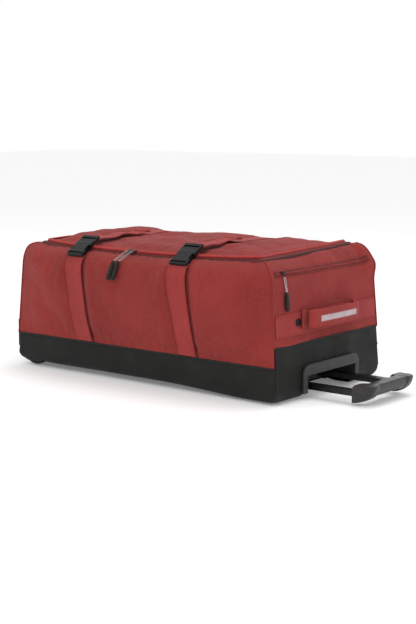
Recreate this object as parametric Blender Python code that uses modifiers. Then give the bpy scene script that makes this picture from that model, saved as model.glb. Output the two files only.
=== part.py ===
"""Rolling duffel bag, lying flat on its wheels and skid rails. Metres, +Z up.

+X points to the trolley handle, the wheels are at -X and the buckled front is at -Y.
The origin is on the ground, under the middle of the bag with its handle part extended.
"""
import math

import bmesh
import bpy
from mathutils import Matrix, Vector

# Driving dimensions of the bag.
BODY_LENGTH = 0.770
BODY_DEPTH = 0.410
HANDLE_REACH = 0.161
BASE_Z = 0.012
SEAM_Z = 0.078
END_SEAM_Z = 0.1205
TOP_Z = 0.297
LID_CROWN = 0.017
TAPER_ENDS = 0.070
TAPER_SIDES = 0.046
SHOULDER_RISE = 0.050
END_ROUND = 0.055
SIDE_ROUND = 0.035
FRONT_SWELL = 0.039
REAR_SWELL = 0.0452
WHEEL_END_SWELL = 0.007
ZIP_SAG = 0.008
FABRIC = 0.003
GAP = 0.0003

# Places along the length that follow from the driving dimensions.
WHEEL_END_X = -(BODY_LENGTH + HANDLE_REACH) / 2
HANDLE_END_X = WHEEL_END_X + BODY_LENGTH
GRIP_OUTER_X = HANDLE_END_X + HANDLE_REACH
FABRIC_START_X = WHEEL_END_X + 0.003
MID_X = (FABRIC_START_X + HANDLE_END_X) / 2
HALF_LENGTH = (HANDLE_END_X - FABRIC_START_X) / 2
HALF_DEPTH = BODY_DEPTH / 2

# Share of the panel height that is straight, and the angle of the shoulder at the zip.
STRAIGHT_SHARE = 0.62
SHOULDER_ANGLE = math.radians(75)

# The front still bows out at the zip, the rear is straight there for the lid's hinge line.
FRONT_BOW = 0.8
REAR_BOW = 1.0

# Straps and buckles.
STRAP_OFFSET_X = 0.153
STRAP_SHIFT_X = -0.013
STRAP_LEAN = 0.010
STRAP_WIDTH = 0.050
UPPER_STRAP_WIDTH = 0.040
WEBBING = 0.0018
BUCKLE_TILT = math.radians(34)
BUCKLE_START = -0.030
BUCKLE_LIFT = 0.0008
BUCKLE_WIDTH = 0.048
BUCKLE_LENGTH = 0.046
BUCKLE_THICKNESS = 0.011

# Wheels.
WHEEL_RADIUS = 0.036
WHEEL_WIDTH = 0.028
WHEEL_Y = 0.169
WHEEL_X = WHEEL_END_X + 0.037
HOUSING_WIDTH = 0.056
HOUSING_LENGTH = 0.078
AXLE_RADIUS = 0.003
BEARING_RADIUS = 0.008

# Trolley.
ROD_Y = 0.072
ROD_Z = 0.0245
GUIDE_SIZE = (0.0285, 0.0180)
STAGE1_SIZE = (0.0240, 0.0150)
STAGE2_SIZE = (0.0200, 0.0120)
TUBE_WALL = 0.0012
CUP_DEPTH = 0.073
CUP_HALF_WIDTH = 0.0925
CUP_HEIGHT_Z = 0.050
GRIP_HALF_WIDTH = 0.088
GRIP_DEPTH = 0.050
EAR_LENGTH = 0.030
GRIP_TOP = 0.0200
EAR_DROP = 0.0187
GRIP_DROP = 0.0080

# End band, grab handle and pocket zip.
BAND_LOW_Z = 0.140
BAND_HIGH_Z = 0.187
HANDLE_HALF = 0.098
HANDLE_STANDOFF = 0.022
HANDLE_HALF_HEIGHT = 0.020
HANDLE_Z = 0.1715
BAND_LIFT = 0.0021
POCKET_ZIP_Z = 0.2705

# Pivots of the pulls, from the foot of their sliders.
MAIN_PIVOT = Vector((0, -0.0085, 0.0015))
POCKET_PIVOT = Vector((0.0062, 0, -0.0085))
PULL_LEAN = 0.30

RED_FABRIC = ((0.27, 0.040, 0.038), 0.85, 0.0)
RED_WEBBING = ((0.34, 0.045, 0.045), 0.75, 0.0)
BLACK_COATED = ((0.018, 0.018, 0.017), 0.6, 0.0)
BLACK_PLASTIC = ((0.012, 0.012, 0.013), 0.4, 0.0)
GREY_PLASTIC = ((0.06, 0.06, 0.058), 0.5, 0.0)
RUBBER = ((0.02, 0.024, 0.023), 0.8, 0.0)
BRIGHT_METAL = ((0.6, 0.6, 0.6), 0.3, 1.0)
DARK_METAL = ((0.03, 0.03, 0.032), 0.35, 1.0)
REFLECTIVE = ((0.62, 0.48, 0.50), 0.3, 0.3)
BOARD = ((0.05, 0.05, 0.05), 0.8, 0.0)


def clear_scene():
    for item in list(bpy.data.objects):
        bpy.data.objects.remove(item)


def new_collection(name, hidden=False):
    group = bpy.data.collections.new(name)
    bpy.context.scene.collection.children.link(group)
    group.hide_render = hidden
    return group


def add_object(name, data, finish, group):
    """Link mesh or curve data as an object with a material of its own."""
    item = bpy.data.objects.new(name, data)
    group.objects.link(item)
    if finish is not None:
        color, roughness, metallic = finish
        look = bpy.data.materials.new(name)
        look.use_nodes = True
        shader = look.node_tree.nodes["Principled BSDF"]
        shader.inputs["Base Color"].default_value = (*color, 1)
        shader.inputs["Roughness"].default_value = roughness
        shader.inputs["Metallic"].default_value = metallic
        data.materials.append(look)
    return item


def mesh_from(name, shape):
    mesh = bpy.data.meshes.new(name)
    shape.to_mesh(mesh)
    shape.free()
    return mesh


def add_bevel(item, width, segments=2, angle=40):
    edges = item.modifiers.new("Edges", "BEVEL")
    edges.width = width
    edges.segments = segments
    edges.limit_method = "ANGLE"
    edges.angle_limit = math.radians(angle)
    return item


def box(name, low, high, finish, group, bevel=0.0, segments=2):
    """A box between two corners, its edges bevelled."""
    low, high = Vector(low), Vector(high)
    shape = bmesh.new()
    bmesh.ops.create_cube(shape, size=1)
    bmesh.ops.scale(shape, vec=high - low, verts=shape.verts)
    item = add_object(name, mesh_from(name, shape), finish, group)
    item.location = (low + high) / 2
    if bevel:
        add_bevel(item, bevel, segments)
    return item


def mirrored(low, high, side):
    """Corners of a box given for +Y, moved to the other side when side is -1."""
    if side > 0:
        return low, high
    return (low[0], -high[1], low[2]), (high[0], -low[1], high[2])


def cylinder(name, centre, axis, radius, length, finish, group, sides=24):
    shape = bmesh.new()
    bmesh.ops.create_cone(shape, cap_ends=True, segments=sides, radius1=radius, radius2=radius, depth=length)
    item = add_object(name, mesh_from(name, shape), finish, group)
    item.location = centre
    item.rotation_mode = "QUATERNION"
    item.rotation_quaternion = Vector((0, 0, 1)).rotation_difference(Vector(axis))
    return item


def turned(name, profile, centre, finish, group, steps=32, closed=False):
    """A profile of (radius, along) points turned about a Y axis through centre."""
    shape = bmesh.new()
    points = [shape.verts.new((radius, 0, along)) for radius, along in profile]
    for first, second in zip(points, points[1:]):
        shape.edges.new((first, second))
    if closed:
        shape.edges.new((points[-1], points[0]))
    item = add_object(name, mesh_from(name, shape), finish, group)
    item.location = centre
    item.rotation_euler = (math.radians(-90), 0, 0)
    screw = item.modifiers.new("Turn", "SCREW")
    screw.steps = steps
    screw.render_steps = steps
    screw.use_merge_vertices = True
    screw.merge_threshold = 0.0001
    return item


def tube(name, points, radius, finish, group, resolution=1, cyclic=False):
    """A round tube with filled caps along a list of points."""
    path = bpy.data.curves.new(name, "CURVE")
    path.dimensions = "3D"
    spline = path.splines.new("POLY")
    spline.points.add(len(points) - 1)
    for knot, point in zip(spline.points, points):
        knot.co = (*point, 1)
    spline.use_cyclic_u = cyclic
    path.bevel_depth = radius
    path.bevel_resolution = resolution
    path.use_fill_caps = not cyclic
    return add_object(name, path, finish, group)


def plate(name, outline, thickness, frame, finish, group):
    """A flat closed outline given thickness; frame places the drawing plane."""
    path = bpy.data.curves.new(name, "CURVE")
    path.dimensions = "2D"
    path.fill_mode = "BOTH"
    path.extrude = thickness / 2
    spline = path.splines.new("POLY")
    spline.points.add(len(outline) - 1)
    for knot, point in zip(spline.points, outline):
        knot.co = (point[0], point[1], 0, 1)
    spline.use_cyclic_u = True
    item = add_object(name, path, finish, group)
    item.matrix_world = frame
    return item


def as_mesh(item, group):
    """Turn a curve object into a mesh object with its caps welded on."""
    bpy.context.view_layer.update()
    graph = bpy.context.evaluated_depsgraph_get()
    mesh = bpy.data.meshes.new_from_object(item.evaluated_get(graph))
    shape = bmesh.new()
    shape.from_mesh(mesh)
    bmesh.ops.remove_doubles(shape, verts=shape.verts, dist=0.00001)
    shape.to_mesh(mesh)
    shape.free()
    name = item.name
    place = item.matrix_world.copy()
    bpy.data.objects.remove(item)
    solid = bpy.data.objects.new(name, mesh)
    group.objects.link(solid)
    solid.matrix_world = place
    return solid


def combine(item, other, operation, cutters):
    """Cut other from item, or join it on; other stays hidden among the cutters."""
    for owner in list(other.users_collection):
        owner.objects.unlink(other)
    cutters.objects.link(other)
    other.hide_render = True
    other.display_type = "WIRE"
    step = item.modifiers.new(other.name, "BOOLEAN")
    step.operation = operation
    step.object = other
    return item


def sheet(name, place, columns, rows, outward, thickness, finish, group):
    """A sewn panel: place(u, v) gives its outer face for u and v from 0 to 1."""
    shape = bmesh.new()
    bmesh.ops.create_grid(shape, x_segments=columns, y_segments=rows, size=0.5)
    for corner in shape.verts:
        corner.co = place(corner.co.x + 0.5, corner.co.y + 0.5)
    shape.normal_update()
    facing = sum((face.normal for face in shape.faces), Vector())
    if facing.dot(Vector(outward)) < 0:
        bmesh.ops.reverse_faces(shape, faces=shape.faces)
    item = add_object(name, mesh_from(name, shape), finish, group)
    depth = item.modifiers.new("Thickness", "SOLIDIFY")
    depth.thickness = thickness
    depth.offset = -1
    return item


def raised(place, u, v, height, outward):
    """The point of a surface at u, v, lifted off it by height."""
    step = 0.01
    along = Vector(place(min(u + step, 1), v)) - Vector(place(max(u - step, 0), v))
    across = Vector(place(u, min(v + step, 1))) - Vector(place(u, max(v - step, 0)))
    normal = along.cross(across).normalized()
    if normal.dot(Vector(outward)) < 0:
        normal.negate()
    return Vector(place(u, v)) + normal * height


def skin(v):
    """Half length, half depth and height of the upper bag, from base seam (0) to zip (1)."""
    shoulder_z = TOP_Z - SHOULDER_RISE
    if v <= STRAIGHT_SHARE:
        angle = 0.0
        height = SEAM_Z + (shoulder_z - SEAM_Z) * v / STRAIGHT_SHARE
    else:
        angle = SHOULDER_ANGLE * (v - STRAIGHT_SHARE) / (1 - STRAIGHT_SHARE)
        height = shoulder_z + SHOULDER_RISE * math.sin(angle) / math.sin(SHOULDER_ANGLE)
    rounding = 1 - math.cos(angle)
    half_length = HALF_LENGTH - TAPER_ENDS * (height - BASE_Z) - END_ROUND * rounding
    half_depth = HALF_DEPTH - TAPER_SIDES * (height - BASE_Z) - SIDE_ROUND * rounding
    return half_length, half_depth, height


def share_at(height):
    """The v at which the straight part of the skin has this height."""
    return STRAIGHT_SHARE * (height - SEAM_Z) / (TOP_Z - SHOULDER_RISE - SEAM_Z)


def side_point(side, x, v):
    """Outer face of the front (side -1) or rear (side 1) panel at x."""
    half_length, half_depth, height = skin(v)
    across = max(-1.0, min(1.0, (x - MID_X) / half_length))
    swell, bow = (FRONT_SWELL, FRONT_BOW) if side < 0 else (REAR_SWELL, REAR_BOW)
    swell *= (1 - across ** 4) * math.sin(math.pi * bow * v)
    drop = ZIP_SAG * (1 - across ** 2) * v ** 4 if side < 0 else 0
    return Vector((x, side * (half_depth + swell), height - drop))


def end_point(end, across, v):
    """Outer face of the handle end (end 1) or wheel end (end -1), across from -1 to 1."""
    half_length, half_depth, height = skin(v)
    swell = WHEEL_END_SWELL * (1 - across ** 2) * math.sin(math.pi * v) if end < 0 else 0
    inner_half = half_depth - 2 * FABRIC
    return Vector((MID_X + end * (half_length + swell), across * inner_half, height))


def lid_point(across_x, across_y):
    """Top face of the lid, both shares from -1 to 1."""
    half_length, half_depth, height = skin(1)
    crown = LID_CROWN * (1 - abs(across_x) ** 5) * (1 - abs(across_y) ** 3)
    x = MID_X + across_x * (half_length - 0.010)
    front = side_point(-1, x, 1).y + 0.006
    rear = half_depth - 0.006
    y = front + (rear - front) * (across_y + 1) / 2
    drop = ZIP_SAG * (1 - across_x ** 2) * ((1 - across_y) / 2) ** 2
    return Vector((x, y, height + 0.004 + crown - drop))


def base_tub(parts, cutters):
    """The black tub: a tapered open box with round lower edges, notched for wheels and handle."""
    shape = bmesh.new()
    bmesh.ops.create_cube(shape, size=1)
    height = SEAM_Z - BASE_Z
    for corner in shape.verts:
        rise = (corner.co.z + 0.5) * height
        corner.co.x = MID_X + 2 * corner.co.x * (HALF_LENGTH - TAPER_ENDS * rise)
        corner.co.y = 2 * corner.co.y * (HALF_DEPTH - TAPER_SIDES * rise)
        corner.co.z = BASE_Z + rise
    top = [face for face in shape.faces if face.normal.z > 0.9]
    bmesh.ops.delete(shape, geom=top, context="FACES_ONLY")
    rounded = [edge for edge in shape.edges if not edge.is_boundary]
    bmesh.ops.bevel(shape, geom=rounded, offset=0.022, segments=4, profile=0.5, affect="EDGES")
    tub = add_object("base_tub", mesh_from("base_tub", shape), BLACK_COATED, parts)
    depth = tub.modifiers.new("Thickness", "SOLIDIFY")
    depth.thickness = FABRIC
    depth.offset = -1
    depth.use_even_offset = True
    inner = WHEEL_Y - HOUSING_WIDTH / 2 - GAP
    outer = WHEEL_Y + HOUSING_WIDTH / 2 + GAP
    for side, label in ((-1, "near"), (1, "far")):
        low = (WHEEL_END_X - 0.05, inner, -0.05)
        high = (WHEEL_END_X + HOUSING_LENGTH + GAP, outer, SEAM_Z + 0.05)
        low, high = mirrored(low, high, side)
        combine(tub, box("wheel_notch_" + label, low, high, None, cutters), "DIFFERENCE", cutters)
    half = CUP_HALF_WIDTH + FABRIC + GAP
    low = (HANDLE_END_X - CUP_DEPTH - FABRIC - GAP, -half, -0.05)
    high = (HANDLE_END_X + 0.05, half, CUP_HEIGHT_Z + FABRIC + GAP)
    combine(tub, box("cup_notch", low, high, None, cutters), "DIFFERENCE", cutters)
    return tub


def base_end_wall(parts):
    """The black panel that carries on from the tub up the handle end."""
    low_share = 0.01
    high_share = share_at(END_SEAM_Z)

    def place(u, v):
        return end_point(1, 2 * u - 1, low_share + (high_share - low_share) * v)

    sheet("base_end_wall", place, 8, 2, (1, 0, 0), FABRIC, BLACK_COATED, parts)


def fabric_panels(parts):
    """Front, rear and end panels between the base seam and the zip line."""
    low_share = 0.008
    for side, name in ((-1, "front_panel"), (1, "rear_panel")):
        def place(u, v, side=side):
            share = low_share + (1 - low_share) * v
            half_length = skin(share)[0]
            return side_point(side, MID_X + (2 * u - 1) * half_length, share)

        sheet(name, place, 14, 12, (0, side, 0), FABRIC, RED_FABRIC, parts)

    start = share_at(END_SEAM_Z) + 0.006

    def handle_end(u, v):
        return end_point(1, 2 * u - 1, start + (1 - start) * v)

    def wheel_end(u, v):
        return end_point(-1, 2 * u - 1, low_share + (1 - low_share) * v)

    sheet("handle_end_panel", handle_end, 8, 12, (1, 0, 0), FABRIC, RED_FABRIC, parts)
    sheet("wheel_end_panel", wheel_end, 8, 12, (-1, 0, 0), FABRIC, BLACK_COATED, parts)


def lid(parts):
    """The domed lid and the piping round its three free edges."""
    def place(u, v):
        return lid_point(2 * u - 1, 2 * v - 1)

    sheet("lid_panel", place, 14, 10, (0, 0, 1), FABRIC, RED_FABRIC, parts)
    tube("lid_piping", u_path(0.0070, 0.0062), 0.0020, RED_WEBBING, parts)


def u_path(inset, lift):
    """A U round the two ends and the bowed front of the zip line, open at the rear."""
    half_length, half_depth, height = skin(1)
    reach = half_length - inset
    corner = 0.005
    rear = half_depth - 0.014
    level = height + lift
    run = []
    for step in range(9):
        x = MID_X + (reach - corner) * (step / 4 - 1)
        edge = side_point(-1, x, 1)
        run.append((x, edge.y + inset * 0.45, edge.z + lift))
    points = [(MID_X - reach, rear, level)]
    for end, turn in ((-1, run), (1, [])):
        centre_y = run[0][1] + corner
        for step in (0, 1, 2) if end < 0 else (2, 1, 0):
            angle = math.radians(30 * step)
            x = MID_X + end * (reach - corner + corner * math.cos(angle))
            points.append((x, centre_y - corner * math.sin(angle), level))
        points.extend(turn)
    points.append((MID_X + reach, rear, level))
    return points


def zips(parts):
    """The main zip in its U, and the pocket zip across the handle end."""
    tube("main_zip", u_path(0.0, 0.0026), 0.0019, RED_WEBBING, parts)
    share = pocket_share()

    def place(u, v):
        level = share + (v - 0.5) * 0.05
        return raised(end_surface, 0.045 + 0.91 * u, level, 0.0018, (1, 0, 0))

    sheet("end_pocket_zip", place, 8, 1, (1, 0, 0), 0.0013, RED_WEBBING, parts)


def end_surface(u, v):
    return end_point(1, 2 * u - 1, v)


def pocket_share():
    """The v of the pocket zip, which sits on the rounded part of the end."""
    rise = (POCKET_ZIP_Z - TOP_Z + SHOULDER_RISE) * math.sin(SHOULDER_ANGLE) / SHOULDER_RISE
    return STRAIGHT_SHARE + (1 - STRAIGHT_SHARE) * math.asin(rise) / SHOULDER_ANGLE


def end_band(parts):
    """The sewn band across the handle end, which the grab handle is fixed to."""
    low_share = share_at(BAND_LOW_Z)
    high_share = share_at(BAND_HIGH_Z)

    def place(u, v):
        level = low_share + (high_share - low_share) * v
        return raised(end_surface, 0.01 + 0.98 * u, level, BAND_LIFT, (1, 0, 0))

    sheet("end_band", place, 8, 3, (1, 0, 0), 0.0018, RED_WEBBING, parts)


def ribbon_outline(path, thickness):
    """A closed outline of even thickness along a flat path."""
    left = []
    right = []
    last = len(path) - 1
    for index, point in enumerate(path):
        before = Vector(path[max(index - 1, 0)])
        after = Vector(path[min(index + 1, last)])
        along = (after - before).normalized()
        normal = Vector((-along.y, along.x)) * thickness / 2
        left.append(Vector(point) + normal)
        right.append(Vector(point) - normal)
    return left + right[::-1]


def grab_handle(parts):
    """The padded strap between its two sewn anchors, its reflective strip and the eyelet."""
    middle_z = HANDLE_Z
    share = share_at(middle_z)
    foot_x = end_point(1, 0, share).x + BAND_LIFT + 0.0042
    top_x = foot_x + HANDLE_STANDOFF
    path = [(foot_x + 0.0095, -HANDLE_HALF + 0.0055), (foot_x + 0.0150, -HANDLE_HALF + 0.0085)]
    path += [(top_x, -HANDLE_HALF + 0.022), (top_x + 0.002, 0)]
    path += [(x, -y) for x, y in path[-2::-1]]
    frame = Matrix.Translation((0, 0, middle_z))
    plate("grab_handle", ribbon_outline(path, 0.005), 2 * HANDLE_HALF_HEIGHT, frame, RED_WEBBING, parts)
    for side, label in ((-1, "near"), (1, "far")):
        low = (foot_x - 0.0014, HANDLE_HALF - 0.006, middle_z - HANDLE_HALF_HEIGHT)
        high = (foot_x + 0.0022, HANDLE_HALF + 0.006, middle_z + HANDLE_HALF_HEIGHT)
        low, high = mirrored(low, high, side)
        box("handle_anchor_" + label, low, high, RED_WEBBING, parts, bevel=0.0008, segments=1)
    strip_x = top_x + 0.002 + 0.0025 + GAP
    low = (strip_x + 0.0003, -0.067, middle_z - 0.007)
    high = (strip_x + 0.0013, 0.067, middle_z + 0.007)
    box("reflective_strip", low, high, REFLECTIVE, parts)
    place = Vector((end_point(1, 0, share).x + BAND_LIFT + 0.0021, -0.1135, middle_z - 0.006))
    ring = ((0.0085, 0.0008), (0.0085, -0.0008), (0.0045, -0.0010), (0.0045, 0.0010))
    eyelet = turned("eyelet", ring, place, DARK_METAL, parts, steps=20, closed=True)
    eyelet.rotation_euler = (math.radians(90), 0, math.radians(90))


def straps(parts, side_label, centre_x):
    """One strap's three runs: up the front, over the lid and down the rear."""
    half = STRAP_WIDTH / 2

    def front(u, v):
        level = 0.012 + 0.70 * v
        middle = centre_x + STRAP_LEAN * (1 - v)
        return raised_side(-1, middle + (2 * u - 1) * half, level, 0.0022)

    sheet("strap_lower_" + side_label, front, 2, 12, (0, -1, 0), WEBBING, RED_WEBBING, parts)

    def rear(u, v):
        level = 0.012 + 0.965 * v
        return raised_side(1, centre_x + (2 * u - 1) * half, level, 0.0028)

    sheet("strap_rear_" + side_label, rear, 2, 14, (0, 1, 0), WEBBING, RED_WEBBING, parts)
    upper = UPPER_STRAP_WIDTH / 2
    lift = strap_start(centre_x)
    start = lid_share(centre_x, lift.y)
    rise = lift.z - lid_point(lid_across(centre_x), start).z

    def over(u, v):
        across = start + (0.78 - start) * v
        point = lid_point(lid_across(centre_x + (2 * u - 1) * upper), across)
        lead_in = max(0.0, 1 - v / 0.4) ** 2
        return point + Vector((0, 0, 0.0030 + (rise - 0.003) * lead_in))

    sheet("strap_upper_" + side_label, over, 2, 12, (0, 0, 1), WEBBING, RED_WEBBING, parts)


def raised_side(side, x, v, height):
    """A point lifted off the front or rear panel."""
    step = 0.004
    across = side_point(side, x, min(v + step, 1)) - side_point(side, x, max(v - step, 0))
    normal = Vector((0, across.z, -across.y)).normalized()
    if normal.y * side < 0:
        normal.negate()
    return side_point(side, x, v) + normal * height


def lid_across(x):
    return (x - MID_X) / (skin(1)[0] - 0.010)


def lid_share(x, y):
    """The lid's across_y at a place."""
    front = lid_point(lid_across(x), -1).y
    rear = lid_point(lid_across(x), 1).y
    return 2 * (y - front) / (rear - front) - 1


def buckle_axes():
    """Directions along the buckle, from socket to strap, and out of its top face."""
    along = Vector((0, math.cos(BUCKLE_TILT), math.sin(BUCKLE_TILT)))
    out = Vector((0, -math.sin(BUCKLE_TILT), math.cos(BUCKLE_TILT)))
    return along, out


def buckle_seat(centre_x):
    """Middle of the socket's lower end, resting on the highest part of the shoulder."""
    along, out = buckle_axes()
    shoulder = [side_point(-1, centre_x, 0.6 + 0.02 * step) for step in range(21)]
    highest = max(point.dot(out) for point in shoulder)
    seat = along * BUCKLE_START + out * (highest + BUCKLE_LIFT + BUCKLE_THICKNESS / 2)
    return Vector((centre_x, seat.y, seat.z))


def strap_start(centre_x):
    """Where the upper strap leaves the crossbar of the pronged half."""
    along, out = buckle_axes()
    return buckle_seat(centre_x) + along * (BUCKLE_LENGTH + 0.0275)


def buckle_frame(centre_x):
    """X across the strap, Y along the buckle, Z out of its top face."""
    along, out = buckle_axes()
    frame = Matrix.Identity(4)
    frame.col[0][:3] = (1, 0, 0)
    frame.col[1][:3] = along
    frame.col[2][:3] = out
    frame.translation = buckle_seat(centre_x)
    return frame


def place_in(frame, item):
    item.matrix_world = frame @ Matrix.Translation(item.location)
    return item


def buckle(parts, cutters, side_label, centre_x):
    """A side-release buckle: the socket half below, the pronged half above."""
    frame = buckle_frame(centre_x)
    half = BUCKLE_WIDTH / 2
    thick = BUCKLE_THICKNESS / 2
    socket = box("buckle_socket_" + side_label, (-half, 0, -thick), (half, BUCKLE_LENGTH, thick),
                 BLACK_PLASTIC, parts, bevel=0.0025)
    place_in(frame, socket)
    mouth = box("mouth_" + side_label, (-0.0207, 0.013, -0.0034), (0.0207, 0.06, 0.0034), None, cutters)
    combine(socket, place_in(frame, mouth), "DIFFERENCE", cutters)
    slot = box("slot_" + side_label, (-0.0215, 0.0040, -0.02), (0.0215, 0.0082, 0.02), None, cutters)
    combine(socket, place_in(frame, slot), "DIFFERENCE", cutters)
    for side in (-1, 1):
        low = (side * 0.0275 - 0.0075, 0.017, -0.02)
        high = (side * 0.0275 + 0.0075, 0.034, 0.02)
        window = box("window_%s_%d" % (side_label, side), low, high, None, cutters)
        combine(socket, place_in(frame, window), "DIFFERENCE", cutters)
    male = prong_half(parts, cutters, side_label)
    male.matrix_world = frame


def prong_half(parts, cutters, side_label):
    """Crossbar, two prongs and the middle guide drawn flat, then given thickness."""
    end = BUCKLE_LENGTH
    outline = [(0.024, end + 0.0006), (0.024, end + 0.024), (-0.024, end + 0.024), (-0.024, end + 0.0006)]
    outline += [(-0.0175, end + 0.0003), (-0.0175, 0.034), (-0.0203, 0.031), (-0.0203, 0.022), (-0.015, 0.018)]
    outline += [(-0.0115, 0.030), (-0.0115, end - 0.0045), (-0.0045, end - 0.0035), (-0.0045, 0.016)]
    outline += [(0.0045, 0.016), (0.0045, end - 0.0035), (0.0115, end - 0.0045), (0.0115, 0.030)]
    outline += [(0.015, 0.018), (0.0203, 0.022), (0.0203, 0.031), (0.0175, 0.034), (0.0175, end + 0.0003)]
    item = plate("buckle_prongs_" + side_label, outline, 0.0058, Matrix.Identity(4), None, parts)
    solid = as_mesh(item, parts)
    slot = box("bar_slot_" + side_label, (-0.0205, end + 0.012, -0.02), (0.0205, end + 0.017, 0.02), None, cutters)
    slot.parent = solid
    combine(solid, slot, "DIFFERENCE", cutters)
    paint(solid, BLACK_PLASTIC)
    return solid


def paint(item, finish):
    """Give a converted object a material of its own."""
    color, roughness, metallic = finish
    look = bpy.data.materials.new(item.name)
    look.use_nodes = True
    shader = look.node_tree.nodes["Principled BSDF"]
    shader.inputs["Base Color"].default_value = (*color, 1)
    shader.inputs["Roughness"].default_value = roughness
    shader.inputs["Metallic"].default_value = metallic
    item.data.materials.append(look)


def wheel(parts, cutters, label, side):
    """Tyre, hub, bearings and axle in one housing at a lower corner of the wheel end."""
    centre = Vector((WHEEL_X, side * WHEEL_Y, WHEEL_RADIUS))
    half = WHEEL_WIDTH / 2
    rim = 0.0255
    tyre = [(rim, half - 0.002), (WHEEL_RADIUS - 0.005, half), (WHEEL_RADIUS - 0.0015, half - 0.003)]
    tyre += [(WHEEL_RADIUS, half - 0.008), (WHEEL_RADIUS, 0.008 - half)]
    tyre += [(WHEEL_RADIUS - 0.0015, 0.003 - half), (WHEEL_RADIUS - 0.005, -half), (rim, 0.002 - half)]
    turned("wheel_tyre_" + label, tyre, centre, RUBBER, parts, steps=40, closed=True)
    seat = BEARING_RADIUS + GAP
    hub = [(seat, half - 0.001), (rim - GAP, half - 0.003), (rim - GAP, 0.003 - half), (seat, 0.001 - half)]
    turned("wheel_hub_" + label, hub, centre, GREY_PLASTIC, parts, steps=32, closed=True)
    bore = AXLE_RADIUS + GAP
    bearing = [(bore, half - 0.0015), (BEARING_RADIUS, half - 0.0015), (BEARING_RADIUS, 0.0015 - half)]
    bearing += [(bore, 0.0015 - half)]
    turned("wheel_bearing_" + label, bearing, centre, BRIGHT_METAL, parts, steps=24, closed=True)
    cylinder("wheel_axle_" + label, centre, (0, 1, 0), AXLE_RADIUS, HOUSING_WIDTH - 0.006, BRIGHT_METAL, parts)
    wheel_housing(parts, cutters, label, side)


def wheel_housing(parts, cutters, label, side):
    """The hood over a wheel: two cheeks and a roof, with a flange up the end of the bag."""
    half = HOUSING_WIDTH / 2
    low_z = BASE_Z + 0.001
    reach = HOUSING_LENGTH
    roof = SEAM_Z - 0.0005
    outline = [(WHEEL_END_X + reach, low_z), (WHEEL_END_X + reach, roof), (WHEEL_END_X + 0.0035, roof)]
    outline += [(WHEEL_END_X + 0.0045, 0.112), (WHEEL_END_X + 0.0005, 0.108), (WHEEL_END_X, 0.045)]
    for step in range(5):
        angle = math.radians(180 + 20 * step)
        radius = WHEEL_RADIUS - 0.002
        outline.append((WHEEL_X - 0.001 + radius * math.cos(angle), WHEEL_RADIUS + 0.010 + radius * math.sin(angle)))
    frame = Matrix.Translation((0, side * WHEEL_Y, 0)) @ Matrix.Rotation(math.radians(90), 4, "X")
    hood = as_mesh(plate("wheel_housing_" + label, outline, 2 * half, frame, None, parts), parts)
    paint(hood, BLACK_PLASTIC)
    well = 0.018
    middle = side * WHEEL_Y
    cut_low = (WHEEL_END_X - 0.05, middle - well, -0.05)
    cut_high = (WHEEL_X + WHEEL_RADIUS + 0.0015, middle + well, SEAM_Z - 0.0035)
    combine(hood, box("well_" + label, cut_low, cut_high, None, cutters), "DIFFERENCE", cutters)
    hole = cylinder("axle_hole_" + label, (WHEEL_X, middle, WHEEL_RADIUS), (0, 1, 0), AXLE_RADIUS + GAP,
                    HOUSING_WIDTH - 0.005, None, cutters)
    combine(hood, hole, "DIFFERENCE", cutters)


def skid_rails(parts):
    """Two moulded rails under the base, level with the bottom of the wheels."""
    for side, label in ((-1, "near"), (1, "far")):
        low = (WHEEL_END_X + 0.110, 0.108, 0)
        high = (HANDLE_END_X - 0.085, 0.126, BASE_Z - GAP)
        low, high = mirrored(low, high, side)
        box("skid_rail_" + label, low, high, BLACK_PLASTIC, parts, bevel=0.0035)


def hollow_bar(name, start_x, end_x, y, size, finish, parts, cutters):
    """A rectangular tube along X, open at both ends."""
    width, height = size
    low = (start_x, y - width / 2, ROD_Z - height / 2)
    high = (end_x, y + width / 2, ROD_Z + height / 2)
    bar = box(name, low, high, finish, parts)
    bore_low = (start_x - 0.01, low[1] + TUBE_WALL, low[2] + TUBE_WALL)
    bore_high = (end_x + 0.01, high[1] - TUBE_WALL, high[2] - TUBE_WALL)
    combine(bar, box(name + "_bore", bore_low, bore_high, None, cutters), "DIFFERENCE", cutters)
    return bar


def trolley(parts, cutters):
    """Guide tubes, both sliding stages and the cover board over them."""
    back_x = HANDLE_END_X - CUP_DEPTH
    guide_end = back_x - FABRIC - 2 * GAP
    guide_start = WHEEL_END_X + 0.090
    stage1_start = back_x - 0.345
    stage2_start = back_x - 0.115
    ear_x = GRIP_OUTER_X - GRIP_DEPTH
    for side, label in ((-1, "near"), (1, "far")):
        y = side * ROD_Y
        hollow_bar("guide_tube_" + label, guide_start, guide_end, y, GUIDE_SIZE, DARK_METAL, parts, cutters)
        hollow_bar("stage1_tube_" + label, stage1_start, back_x + 0.002, y, STAGE1_SIZE, DARK_METAL, parts, cutters)
        hollow_bar("stage2_rod_" + label, stage2_start, ear_x + 0.012, y, STAGE2_SIZE, DARK_METAL, parts, cutters)
    top = ROD_Z + 0.0115
    box("trolley_cover", (guide_start - 0.02, -0.098, top), (guide_end, 0.098, top + 0.0025), BOARD, parts)


def arch_outline(half_width, top, leg, band, corner):
    """An upside-down U: outer round corners, inner opening, open at the bottom."""
    outer = []
    inner = []
    for side, start in ((1, 0), (-1, 90)):
        for step in range(5):
            angle = math.radians(start + 22.5 * step)
            for points, inset, radius in ((outer, 0, corner), (inner, 1, corner * 0.45)):
                wide = half_width - inset * leg
                high = top - inset * band
                centre_y = side * (wide - radius)
                points.append((centre_y + radius * math.cos(angle), high - radius + radius * math.sin(angle)))
    bottom = BASE_Z + 0.0005
    outline = [(half_width, bottom)] + outer + [(-half_width, bottom)]
    return outline + [(leg - half_width, bottom)] + inner[::-1] + [(half_width - leg, bottom)]


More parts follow.
